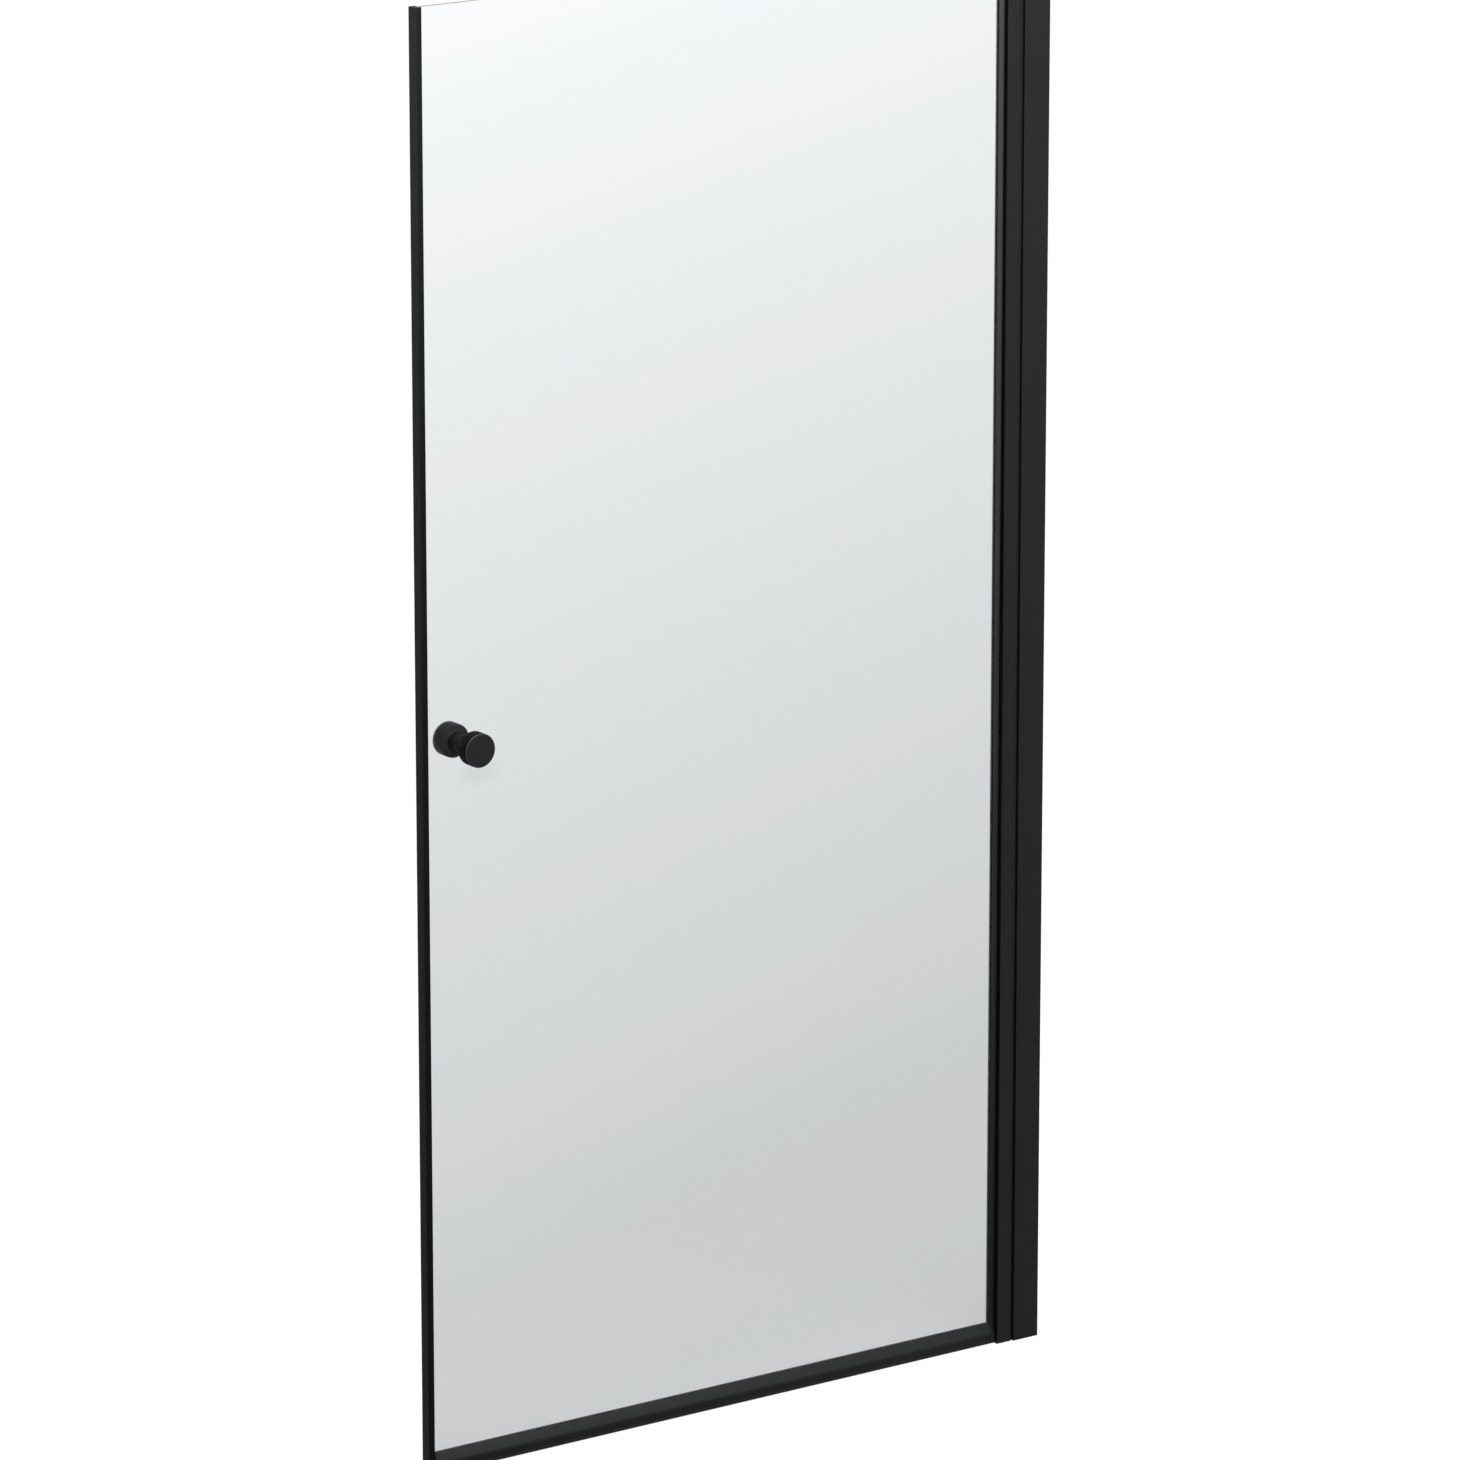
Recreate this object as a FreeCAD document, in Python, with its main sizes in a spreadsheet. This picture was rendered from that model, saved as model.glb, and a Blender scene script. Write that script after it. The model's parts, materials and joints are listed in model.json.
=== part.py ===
import FreeCAD, Part
import math
import os
import Sketcher

# Framed swing shower door with a rise-and-fall hinge, in millimetres.
# X runs along the closed door from its free edge (-) to the wall (+).
# Y is the door's thickness: -Y faces the wet side, and the door swings to +Y.
# Z is up. The origin is on the tray, mid-width, in the glass's middle plane.

doc = FreeCAD.newDocument("shower_door")

# Driving dimensions

SIZES = {
    # whole product, closed
    "overall_width": 990.0,
    "overall_height": 1950.0,
    # wall profile: a U channel with guide lips and a clamp pad in each leg
    "channel_width": 42.0,
    "channel_depth": 32.0,
    "channel_wall": 1.8,
    "guide_lip_height": 2.0,
    "guide_lip_width": 3.0,
    "clamp_pad_width": 10.0,
    "clamp_from_wall": 27.0,
    "channel_edge_radius": 1.4,
    "wall_hole_radius": 2.6,
    "wall_hole_inset": 150.0,
    "cap_thickness": 2.0,
    "cap_plug_height": 8.0,
    "cap_plug_width": 5.5,
    "cap_gap": 0.3,
    # clamp screws, nuts and covers
    "clamp_inset": 240.0,
    "clamp_screw_radius": 2.0,
    "clamp_hole_clearance": 0.15,
    "slot_clearance": 0.3,
    "screw_head_radius": 3.6,
    "screw_head_height": 2.4,
    "nut_width": 7.0,
    "nut_thickness": 3.2,
    "cover_radius": 6.4,
    "cover_height": 4.0,
    "cover_wall": 1.0,
    # hinge profile: a head that shows, and a tail that slides in the channel
    "head_width": 23.3,
    "head_depth": 28.0,
    "head_edge_radius": 2.0,
    "shadow_gap": 3.2,
    "hinge_wall": 1.6,
    "tail_length": 32.2,
    "slide_clearance": 0.2,
    "adjust_in": 3.0,
    "adjust_out": 10.0,
    # hinge blocks and pivot
    "block_plate": 4.0,
    "block_plug_height": 25.0,
    "plug_clearance": 0.2,
    "block_screw_radius": 1.9,
    "block_screw_head_radius": 3.2,
    "block_screw_head_height": 1.6,
    "block_screw_length": 12.0,
    "pivot_from_nose": 6.5,
    "pivot_radius": 5.2,
    "cove_clearance": 1.0,
    "pin_radius": 2.5,
    "pin_top": 62.0,
    "pin_floor": 1.0,
    "running_clearance": 0.05,
    "cam_base": 1.5,
    "cam_lift": 4.0,
    "cam_gap": 0.1,
    "lift_gap": 0.4,
    "spindle_side": 4.0,
    "spindle_engagement": 14.0,
    "bush_radius": 3.85,
    "bush_depth": 20.0,
    "bush_flange": 1.5,
    # glass
    "glass_thickness": 6.0,
    "glass_arris": 0.6,
    "glass_bite": 5.0,
    "glass_foot": 12.6,
    # stile
    "stile_show": 6.9,
    "stile_web": 1.0,
    "stile_drop": 2.0,
    "gasket_side": 0.3,
    "gasket_end": 0.6,
    # drip rail and bottom seal
    "rail_top": 28.4,
    "rail_base": 5.0,
    "rail_front": 9.0,
    "rail_flank": 11.9,
    "rail_wall": 1.4,
    "rail_edge_radius": 2.5,
    "rail_cap": 1.6,
    "rail_cap_tongue": 8.0,
    "tongue_clearance": 0.2,
    "rail_nose_gap": 0.8,
    "seal_slot_from_front": 5.5,
    "seal_mouth": 2.0,
    "seal_slot_width": 5.0,
    "seal_slot_height": 2.6,
    "seal_clearance": 0.1,
    "seal_flange": 1.0,
    "seal_ground_gap": 0.8,
    "seal_lip": 1.1,
    # closing strip with its magnet
    "strip_width": 8.5,
    "strip_depth": 18.0,
    "strip_lip": 2.5,
    "strip_edge_radius": 1.5,
    "strip_glass_clearance": 0.05,
    "strip_face": 1.0,
    "magnet_width": 3.4,
    "magnet_depth": 12.0,
    "magnet_clearance": 0.1,
    # knobs
    "knob_from_edge": 67.4,
    "knob_height": 977.5,
    "knob_reach": 41.0,
    "knob_head_radius": 22.5,
    "knob_head_length": 19.0,
    "knob_neck_radius": 11.0,
    "knob_edge_bevel": 1.0,
    "knob_washer": 0.8,
    "stud_radius": 3.0,
    "stud_half_length": 20.0,
    "stud_clearance": 0.1,
    "sleeve_wall": 2.4,
    "sleeve_clearance": 0.1,
    # one overrun serves every cut
    "overrun": 2.0,
}

sheet = doc.addObject("Spreadsheet::Sheet", "sizes")
for row, (alias, number) in enumerate(SIZES.items(), start=1):
    sheet.set("A%d" % row, alias)
    sheet.set("B%d" % row, str(number))
    sheet.setAlias("B%d" % row, alias)
doc.recompute()


class Length:
    """A length as an expression of the sheet's cells, with its present value."""

    def __init__(self, text, value):
        self.text = text
        self.value = value

    def __add__(self, other):
        other = as_length(other)
        return Length("(%s + %s)" % (self.text, other.text), self.value + other.value)

    def __sub__(self, other):
        other = as_length(other)
        return Length("(%s - %s)" % (self.text, other.text), self.value - other.value)

    def __mul__(self, factor):
        text, value = share(factor)
        return Length("(%s * %s)" % (self.text, text), self.value * value)

    def __truediv__(self, factor):
        text, value = share(factor)
        return Length("(%s / %s)" % (self.text, text), self.value / value)

    def __neg__(self):
        return Length("(0 - %s)" % self.text, -self.value)


def share(factor):
    """What a length is multiplied or divided by: a plain count or share, or another length."""
    return (factor.text, factor.value) if isinstance(factor, Length) else (repr(factor), factor)


def as_length(item):
    """Zero is the only bare number that a place or a sum may hold."""
    if isinstance(item, Length):
        return item
    if item != 0:
        raise ValueError("a bare length other than zero: %r" % item)
    return Length("0", 0.0)


def size(alias):
    """The named cell as a Length."""
    return Length("sizes." + alias, float(sheet.get(alias)))


def bind(target, prop, length):
    """Tie one property to the sheet."""
    target.setExpression(prop, as_length(length).text)


# Helpers for bodies and sketches

AXES = {"XY_Plane": (0, 0, 1), "XZ_Plane": (0, -1, 0), "YZ_Plane": (1, 0, 0)}
ANGLE_TOLERANCE = 1e-6


class Arc:
    """Stands between two corners of an outline: they are joined by an arc about this centre."""

    def __init__(self, across, along, clockwise=False):
        self.centre = (as_length(across), as_length(along))
        self.clockwise = clockwise


def new_body(label):
    body = doc.addObject("PartDesign::Body", label)
    body.Label = label
    return body


def new_sketch(body, role, origin=(0, 0, 0)):
    """A sketch on the body's own origin plane, moved to origin in the plane's own axes."""
    sketch = body.newObject("Sketcher::SketchObject", body.Name + "_sketch")
    plane = [item for item in body.Origin.OriginFeatures if item.Role == role][0]
    sketch.AttachmentSupport = [(plane, "")]
    sketch.MapMode = "FlatFace"
    for axis, place in zip("xyz", origin):
        bind(sketch, "AttachmentOffset.Base." + axis, place)
    return sketch


def fix_point(sketch, geometry, position, place, only=None):
    """Hold a point's two coordinates, or only one of them, by bound distances."""
    for kind, length in zip(("DistanceX", "DistanceY"), place):
        if only and kind != only:
            continue
        made = sketch.addConstraint(Sketcher.Constraint(kind, -1, 1, geometry, position, length.value))
        sketch.setExpression("Constraints[%d]" % made, length.text)


def outline(sketch, items):
    """Draw a closed outline of straight and round edges and bind every corner to the sheet."""
    corners = [tuple(as_length(part) for part in item) for item in items if not isinstance(item, Arc)]
    arcs = {}
    count = -1
    for item in items:
        if isinstance(item, Arc):
            arcs[count] = item
        else:
            count += 1
    ends = []
    for index, start in enumerate(corners):
        stop = corners[(index + 1) % len(corners)]
        first = FreeCAD.Vector(start[0].value, start[1].value, 0)
        last = FreeCAD.Vector(stop[0].value, stop[1].value, 0)
        arc = arcs.get(index)
        if arc is None:
            made = sketch.addGeometry(Part.LineSegment(first, last), False)
            ends.append((made, 1, 2))
            continue
        centre = FreeCAD.Vector(arc.centre[0].value, arc.centre[1].value, 0)
        low, high = (last, first) if arc.clockwise else (first, last)
        angles = [math.atan2(point.y - centre.y, point.x - centre.x) for point in (low, high)]
        if angles[1] <= angles[0]:
            angles[1] += 2 * math.pi
        circle = Part.Circle(centre, FreeCAD.Vector(0, 0, 1), (first - centre).Length)
        made = sketch.addGeometry(Part.ArcOfCircle(circle, angles[0], angles[1]), False)
        ends.append((made, 2, 1) if arc.clockwise else (made, 1, 2))
    for index, (made, _, stop_end) in enumerate(ends):
        after, after_start, _ = ends[(index + 1) % len(ends)]
        sketch.addConstraint(Sketcher.Constraint("Coincident", made, stop_end, after, after_start))
    for index, corner in enumerate(corners):
        made, start_end, _ = ends[index]
        only = None
        arc_before = arcs.get((index - 1) % len(corners))
        if arc_before is not None:
            aside = abs(corner[0].value - arc_before.centre[0].value)
            above = abs(corner[1].value - arc_before.centre[1].value)
            only = "DistanceY" if aside > above else "DistanceX"
        fix_point(sketch, made, start_end, corner, only)
        if index in arcs:
            fix_point(sketch, made, 3, arcs[index].centre)


def circle(sketch, across, along, radius):
    """Draw a bound circle."""
    centre = (as_length(across), as_length(along))
    middle = FreeCAD.Vector(centre[0].value, centre[1].value, 0)
    made = sketch.addGeometry(Part.Circle(middle, FreeCAD.Vector(0, 0, 1), radius.value), False)
    fix_point(sketch, made, 3, centre)
    held = sketch.addConstraint(Sketcher.Constraint("Radius", made, radius.value))
    sketch.setExpression("Constraints[%d]" % held, radius.text)


def slot(sketch, left, right, along, half):
    """Draw a bound slot with round ends between two end centres."""
    outline(sketch, [(left, along - half), (right, along - half), Arc(right, along),
                     (right, along + half), (left, along + half), Arc(left, along)])


def rectangle(sketch, low, high):
    """Draw a bound rectangle between two opposite corners."""
    outline(sketch, [(low[0], low[1]), (high[0], low[1]), (high[0], high[1]), (low[0], high[1])])


def pad(body, sketch, length):
    """Extrude along the plane's own normal."""
    feature = body.newObject("PartDesign::Pad", body.Name + "_pad")
    feature.Profile = sketch
    bind(feature, "Length", length)
    doc.recompute()
    return feature


def pocket(body, sketch, length):
    """Cut against the plane's own normal, and make sure that something was cut."""
    before = body.Shape.Volume
    feature = body.newObject("PartDesign::Pocket", body.Name + "_pocket")
    feature.Profile = sketch
    bind(feature, "Length", length)
    doc.recompute()
    if not body.Shape.Volume < before:
        raise RuntimeError("nothing was cut from " + body.Label)
    return feature


def revolve(body, sketch):
    """Turn the sketch once round its own vertical axis."""
    feature = body.newObject("PartDesign::Revolution", body.Name + "_turn")
    feature.Profile = sketch
    feature.ReferenceAxis = (sketch, ["V_Axis"])
    feature.Angle = 360
    doc.recompute()
    return feature


def round_edges(body, role, places, radius, kind="PartDesign::Fillet", prop="Radius"):
    """Round the straight edges that run along the plane's normal through these places."""
    feature = body.Tip
    normal = FreeCAD.Vector(*AXES[role])
    near = size("running_clearance").value
    names = []
    for number, edge in enumerate(feature.Shape.Edges, start=1):
        if not isinstance(edge.Curve, Part.Line):
            continue
        if edge.Curve.Direction.cross(normal).Length > ANGLE_TOLERANCE:
            continue
        middle = edge.valueAt((edge.FirstParameter + edge.LastParameter) / 2)
        flat = {"XY_Plane": (middle.x, middle.y), "XZ_Plane": (middle.x, middle.z),
                "YZ_Plane": (middle.y, middle.z)}[role]
        for place in places:
            spot = [as_length(part).value for part in place]
            if math.dist(flat, spot) < near:
                names.append("Edge%d" % number)
    if len(names) != len(places):
        raise RuntimeError("%s: %d edges found for %d places" % (body.Label, len(names), len(places)))
    rounded = body.newObject(kind, body.Name + "_round")
    rounded.Base = (feature, names)
    bind(rounded, prop, radius)
    doc.recompute()
    return rounded


# Places worked out from the driving dimensions

wall_x = size("overall_width") / 2
channel_left = wall_x - size("channel_width")
channel_half = size("channel_depth") / 2
channel_inner = channel_half - size("channel_wall")
lip_inner = channel_inner - size("guide_lip_height")
channel_top = size("overall_height") - size("cap_thickness")
clamp_x = wall_x - size("clamp_from_wall")

head_right = channel_left - size("shadow_gap")
nose_left = head_right - size("head_width")
head_half = size("head_depth") / 2
tail_half = lip_inner - size("slide_clearance")
tail_right = head_right + size("tail_length")
frame_top = channel_top - size("cap_gap")

pivot_x = nose_left + size("pivot_from_nose")
pivot_r = size("pivot_radius")
cove_r = pivot_r + size("cove_clearance")
upper_plate_bottom = frame_top - size("block_plate")

glass_top = upper_plate_bottom - size("lift_gap") - size("cam_lift")
glass_half = size("glass_thickness") / 2
stile_left = nose_left - size("stile_show")
stile_top = glass_top - size("stile_drop")
bore_r = size("pin_radius") + size("running_clearance")
bush_bore_r = size("bush_radius") + size("running_clearance")
groove_half = glass_half + size("gasket_side")
groove_end = pivot_x - bush_bore_r - size("stile_web")
glass_right = groove_end - size("gasket_end")

door_left = -wall_x
strip_right = door_left + size("strip_width")
strip_lip_end = strip_right + size("strip_lip")
glass_left = strip_lip_end - size("glass_bite")
strip_half = size("strip_depth") / 2

rail_top = size("rail_top")
rail_base = size("rail_base")
flank_z = rail_top - size("rail_flank")
rail_left = strip_lip_end + size("cap_gap") + size("rail_cap")
rail_right = stile_left
rail_rear = pivot_r
groove_floor = size("glass_foot") - size("gasket_end")
door_foot = rail_top + size("gasket_side")

knob_x = door_left + size("knob_from_edge")
knob_z = size("knob_height")


def mirrored(points):
    """The same points on the other side of the glass's middle plane, in walking order."""
    return [(across, -along) for across, along in reversed(points)]


def clamp_heights():
    """Low, middle and high clamp on the wall profile."""
    return [size("clamp_inset"), channel_top / 2, channel_top - size("clamp_inset")]


# Wall side

def make_wall_profile():
    body = new_body("wall_profile")
    sketch = new_sketch(body, "XY_Plane")
    lip_end = channel_left + size("guide_lip_width")
    pad_start = clamp_x - size("clamp_pad_width") / 2
    pad_end = clamp_x + size("clamp_pad_width") / 2
    inner = wall_x - size("channel_wall")
    front = [(inner, -channel_inner), (pad_end, -channel_inner), (pad_end, -lip_inner),
             (pad_start, -lip_inner), (pad_start, -channel_inner), (lip_end, -channel_inner),
             (lip_end, -lip_inner), (channel_left, -lip_inner), (channel_left, -channel_half),
             (wall_x, -channel_half)]
    outline(sketch, front + mirrored(front))
    pad(body, sketch, channel_top)
    round_edges(body, "XY_Plane", [(channel_left, -channel_half), (channel_left, channel_half),
                                   (wall_x, -channel_half), (wall_x, channel_half)],
                size("channel_edge_radius"))
    holes = new_sketch(body, "YZ_Plane", (0, 0, wall_x))
    inset = size("wall_hole_inset")
    for height in (inset, channel_top / 2, channel_top - inset):
        circle(holes, 0, height, size("wall_hole_radius"))
    pocket(body, holes, size("channel_wall") + size("overrun"))
    clamps = new_sketch(body, "XZ_Plane", (0, 0, -lip_inner + size("overrun")))
    for height in clamp_heights():
        circle(clamps, clamp_x, height, size("clamp_screw_radius") + size("clamp_hole_clearance"))
    pocket(body, clamps, size("channel_depth"))
    return body


def make_wall_profile_cap():
    body = new_body("wall_profile_cap")
    sketch = new_sketch(body, "XY_Plane", (0, 0, channel_top))
    rectangle(sketch, (channel_left, -channel_half), (wall_x, channel_half))
    pad(body, sketch, size("cap_thickness"))
    round_edges(body, "XY_Plane", [(channel_left, -channel_half), (channel_left, channel_half),
                                   (wall_x, -channel_half), (wall_x, channel_half)],
                size("channel_edge_radius"))
    plug = new_sketch(body, "XY_Plane", (0, 0, channel_top - size("cap_plug_height")))
    plug_right = wall_x - size("channel_wall") - size("plug_clearance")
    plug_half = channel_inner - size("plug_clearance")
    rectangle(plug, (plug_right - size("cap_plug_width"), -plug_half), (plug_right, plug_half))
    pad(body, plug, size("cap_plug_height"))
    return body


def cylinder_along_y(name, across, start, height, radius, length):
    """A cylinder that runs towards +Y from start."""
    rod = doc.addObject("Part::Cylinder", name)
    bind(rod, "Radius", radius)
    bind(rod, "Height", length)
    rod.Placement = FreeCAD.Placement(FreeCAD.Vector(), FreeCAD.Rotation(FreeCAD.Vector(1, 0, 0), -90))
    for axis, place in zip("xyz", (across, start, height)):
        bind(rod, "Placement.Base." + axis, place)
    return rod


def group(label, members):
    """Identical fasteners share one node as separate solids."""
    made = doc.addObject("Part::Compound", label)
    made.Label = label
    made.Links = members
    return made


def make_clamp_fasteners():
    screws, nuts, covers = [], [], []
    for number, height in enumerate(clamp_heights(), start=1):
        shank_start = tail_half - size("hinge_wall") - size("nut_thickness") - size("slide_clearance")
        shank = cylinder_along_y("clamp_shank_%d" % number, clamp_x, shank_start, height,
                                 size("clamp_screw_radius"), channel_half - shank_start)
        head = cylinder_along_y("clamp_head_%d" % number, clamp_x, channel_half, height,
                                size("screw_head_radius"), size("screw_head_height"))
        screw = doc.addObject("Part::Fuse", "clamp_screw_%d" % number)
        screw.Base = shank
        screw.Tool = head
        screws.append(screw)

        block = doc.addObject("Part::Box", "clamp_block_%d" % number)
        bind(block, "Length", size("nut_width"))
        bind(block, "Width", size("nut_thickness"))
        bind(block, "Height", size("nut_width"))
        bind(block, "Placement.Base.x", clamp_x - size("nut_width") / 2)
        bind(block, "Placement.Base.y", shank_start + size("slide_clearance") / 2)
        bind(block, "Placement.Base.z", height - size("nut_width") / 2)
        thread = cylinder_along_y("clamp_thread_%d" % number, clamp_x, shank_start - size("overrun"), height,
                                  size("clamp_screw_radius") + size("running_clearance"),
                                  size("nut_thickness") + size("overrun") * 2)
        nut = doc.addObject("Part::Cut", "clamp_nut_%d" % number)
        nut.Base = block
        nut.Tool = thread
        nuts.append(nut)

        shell = cylinder_along_y("cover_shell_%d" % number, clamp_x, channel_half, height,
                                 size("cover_radius"), size("cover_height"))
        hollow = cylinder_along_y("cover_hollow_%d" % number, clamp_x, channel_half - size("overrun"), height,
                                  size("cover_radius") - size("cover_wall"),
                                  size("overrun") + size("cover_height") - size("cover_wall"))
        cover = doc.addObject("Part::Cut", "cover_%d" % number)
        cover.Base = shell
        cover.Tool = hollow
        covers.append(cover)
    return [group("clamp_screws", screws), group("clamp_nuts", nuts), group("screw_covers", covers)]


# Hinge frame

def make_hinge_profile():
    body = new_body("hinge_profile")
    sketch = new_sketch(body, "XY_Plane", (0, 0, size("block_plate")))
    wall = size("hinge_wall")
    head_in = head_half - wall
    tail_in = tail_half - wall
    cove_out = cove_r + wall
    outline(sketch, [
        (nose_left, -head_half), (head_right, -head_half), (head_right, -tail_half),
        (tail_right, -tail_half), (tail_right, -tail_in), (head_right - wall, -tail_in),
        (head_right - wall, -head_in), (nose_left + wall, -head_in), (nose_left + wall, -cove_out),
        (pivot_x, -cove_out), Arc(pivot_x, 0), (pivot_x + cove_out, 0), (pivot_x + cove_out, head_in),
        (head_right - wall, head_in), (head_right - wall, tail_in), (tail_right, tail_in),
        (tail_right, tail_half), (head_right, tail_half), (head_right, head_half),
        (pivot_x + cove_r, head_half), (pivot_x + cove_r, 0), Arc(pivot_x, 0, clockwise=True),
        (pivot_x, -cove_r), (nose_left, -cove_r)])
    pad(body, sketch, upper_plate_bottom - size("block_plate"))
    round_edges(body, "XY_Plane", [(nose_left, -head_half)], size("head_edge_radius"))
    slots = new_sketch(body, "XZ_Plane", (0, 0, -tail_in + size("overrun")))
    for height in clamp_heights():
        slot(slots, clamp_x - size("adjust_in"), clamp_x + size("adjust_out"), height,
             size("clamp_screw_radius") + size("slot_clearance"))
    pocket(body, slots, wall + size("overrun") * 2)
    screws = new_sketch(body, "XZ_Plane", (0, 0, -head_in + size("overrun")))
    for height in block_screw_heights():
        circle(screws, block_screw_x, height, size("block_screw_radius") + size("running_clearance"))
    pocket(body, screws, wall + size("overrun") * 2)
    return body


block_screw_x = head_right - (head_right - pivot_x - cove_r) / 2


def block_screw_heights():
    """One screw holds each block, at the middle of its plug."""
    reach = size("block_plug_height") / 2
    return [size("block_plate") + reach, upper_plate_bottom - reach]


def block_plate_sketch(body, start):
    """The end plate closes the profile and reaches round the pivot."""
    sketch = new_sketch(body, "XY_Plane", (0, 0, start))
    outline(sketch, [
        (nose_left, -head_half), (head_right, -head_half), (head_right, -tail_half),
        (tail_right, -tail_half), (tail_right, tail_half), (head_right, tail_half),
        (head_right, head_half), (pivot_x + cove_r, head_half), (pivot_x + cove_r, pivot_r),
        (pivot_x, pivot_r), Arc(pivot_x, 0), (pivot_x - pivot_r, 0), (pivot_x - pivot_r, -cove_r),
        (nose_left, -cove_r)])
    return sketch


def block_plug(body, start):
    """The plug fills the head of the hinge profile."""
    gap = size("hinge_wall") + size("plug_clearance")
    sketch = new_sketch(body, "XY_Plane", (0, 0, start))
    rectangle(sketch, (pivot_x + cove_r + gap, -(head_half - gap)), (head_right - gap, head_half - gap))
    pad(body, sketch, size("block_plug_height"))
    pilots = new_sketch(body, "XZ_Plane", (0, 0, -head_half + size("block_screw_length") + size("overrun")))
    for height in block_screw_heights():
        if start.value < height.value < (start + size("block_plug_height")).value:
            circle(pilots, block_screw_x, height, size("block_screw_radius") + size("running_clearance"))
    pocket(body, pilots, size("head_depth"))


def make_lower_hinge_block():
    body = new_body("lower_hinge_block")
    plate = size("block_plate")
    pad(body, block_plate_sketch(body, 0), plate)
    round_edges(body, "XY_Plane", [(nose_left, -head_half)], size("head_edge_radius"))
    block_plug(body, plate)
    bore = new_sketch(body, "XY_Plane", (0, 0, plate))
    circle(bore, pivot_x, 0, bore_r)
    pocket(body, bore, plate - size("pin_floor"))
    return body


def make_upper_hinge_block():
    body = new_body("upper_hinge_block")
    plate = size("block_plate")
    pad(body, block_plate_sketch(body, upper_plate_bottom), plate)
    round_edges(body, "XY_Plane", [(nose_left, -head_half)], size("head_edge_radius"))
    block_plug(body, upper_plate_bottom - size("block_plug_height"))
    socket = new_sketch(body, "XY_Plane", (0, 0, frame_top - size("pin_floor")))
    half = size("spindle_side") / 2 + size("running_clearance")
    rectangle(socket, (pivot_x - half, -half), (pivot_x + half, half))
    pocket(body, socket, plate)
    return body


def make_block_screws():
    screws = []
    for number, height in enumerate(block_screw_heights(), start=1):
        shank = cylinder_along_y("block_shank_%d" % number, block_screw_x,
                                 head_half - size("block_screw_length"), height,
                                 size("block_screw_radius"), size("block_screw_length"))
        head = cylinder_along_y("block_head_%d" % number, block_screw_x, head_half, height,
                                size("block_screw_head_radius"), size("block_screw_head_height"))
        screw = doc.addObject("Part::Fuse", "block_screw_%d" % number)
        screw.Base = shank
        screw.Tool = head
        screws.append(screw)
    return group("block_screws", screws)


def make_lower_pin():
    pin = doc.addObject("Part::Cylinder", "lower_pin")
    pin.Label = "lower_pin"
    bind(pin, "Radius", size("pin_radius"))
    bind(pin, "Height", size("pin_top") - size("pin_floor"))
    bind(pin, "Placement.Base.x", pivot_x)
    bind(pin, "Placement.Base.z", size("pin_floor"))
    return pin


def make_upper_spindle():
    body = new_body("upper_spindle")
    top = frame_top - size("pin_floor")
    bottom = stile_top - size("spindle_engagement")
    sketch = new_sketch(body, "XY_Plane", (0, 0, bottom))
    half = size("spindle_side") / 2
    rectangle(sketch, (pivot_x - half, -half), (pivot_x + half, half))
    pad(body, sketch, top - bottom)
    return body


# The cam pair: two ramps, each half a turn, that lift the door as it opens

RAMPS = 2
QUARTERS = 4
RAMP_STEPS = 5


def cam_ramps(start, ramp_share):
    """The space under the left-handed ramps, wider than the cams, lofted through upright sections."""
    inner = bore_r.value / 2
    outer = pivot_r.value + size("overrun").value
    pitch = size("cam_lift").value * QUARTERS
    foot = size("pin_floor").value
    ramps = []
    for number in range(RAMPS):
        sections = []
        for step in range(RAMP_STEPS + 1):
            turned = ramp_share / RAMPS * step / RAMP_STEPS
            angle = 2 * math.pi * (turned + number / RAMPS)
            height = start + pitch * turned
            corners = [FreeCAD.Vector(pivot_x.value + radius * math.cos(angle), -radius * math.sin(angle), level)
                       for radius, level in ((inner, foot), (outer, foot), (outer, height), (inner, height))]
            sections.append(Part.makePolygon(corners + corners[:1]))
        ramps.append(Part.makeLoft(sections, True, True))
    return ramps


def cam_ring(bottom, top):
    """A plain ring about the pivot."""
    base = FreeCAD.Vector(pivot_x.value, 0, bottom)
    ring = Part.makeCylinder(pivot_r.value, top - bottom, base)
    return ring.cut(Part.makeCylinder(bore_r.value, top - bottom, base))


def make_cams():
    plate = size("block_plate").value
    ramp_start = plate + size("cam_base").value
    stack_top = flank_z.value
    step_share = 1 - size("cam_gap").value / pivot_r.value
    ring = cam_ring(plate, stack_top)
    lower_ring = cam_ring(plate, ramp_start)
    lower_shape = lower_ring
    for ramp in cam_ramps(ramp_start, step_share):
        lower_shape = lower_shape.fuse(ring.common(ramp))
    lower = doc.addObject("Part::Feature", "lower_cam")
    lower.Label = "lower_cam"
    lower.Shape = lower_shape.removeSplitter()

    follower_shape = cam_ring(ramp_start + size("cam_gap").value, stack_top)
    for ramp in cam_ramps(ramp_start + size("cam_gap").value, 1):
        follower_shape = follower_shape.cut(ramp)
    follower = doc.addObject("Part::Feature", "follower_cam")
    follower.Label = "follower_cam"
    follower.Shape = follower_shape
    return [lower, follower]


def make_lift_bush():
    body = new_body("lift_bush")
    gap = size("running_clearance")
    bottom = stile_top - size("bush_depth") + gap
    barrel = new_sketch(body, "XY_Plane", (0, 0, bottom))
    circle(barrel, pivot_x, 0, size("bush_radius"))
    pad(body, barrel, stile_top + gap - bottom)
    flange = new_sketch(body, "XY_Plane", (0, 0, stile_top + gap))
    circle(flange, pivot_x, 0, pivot_r)
    pad(body, flange, size("bush_flange"))
    square = new_sketch(body, "XY_Plane", (0, 0, stile_top + gap + size("bush_flange")))
    half = size("spindle_side") / 2 + gap
    rectangle(square, (pivot_x - half, -half), (pivot_x + half, half))
    pocket(body, square, size("bush_depth") + size("bush_flange") + size("overrun"))
    return body


# Door

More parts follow.
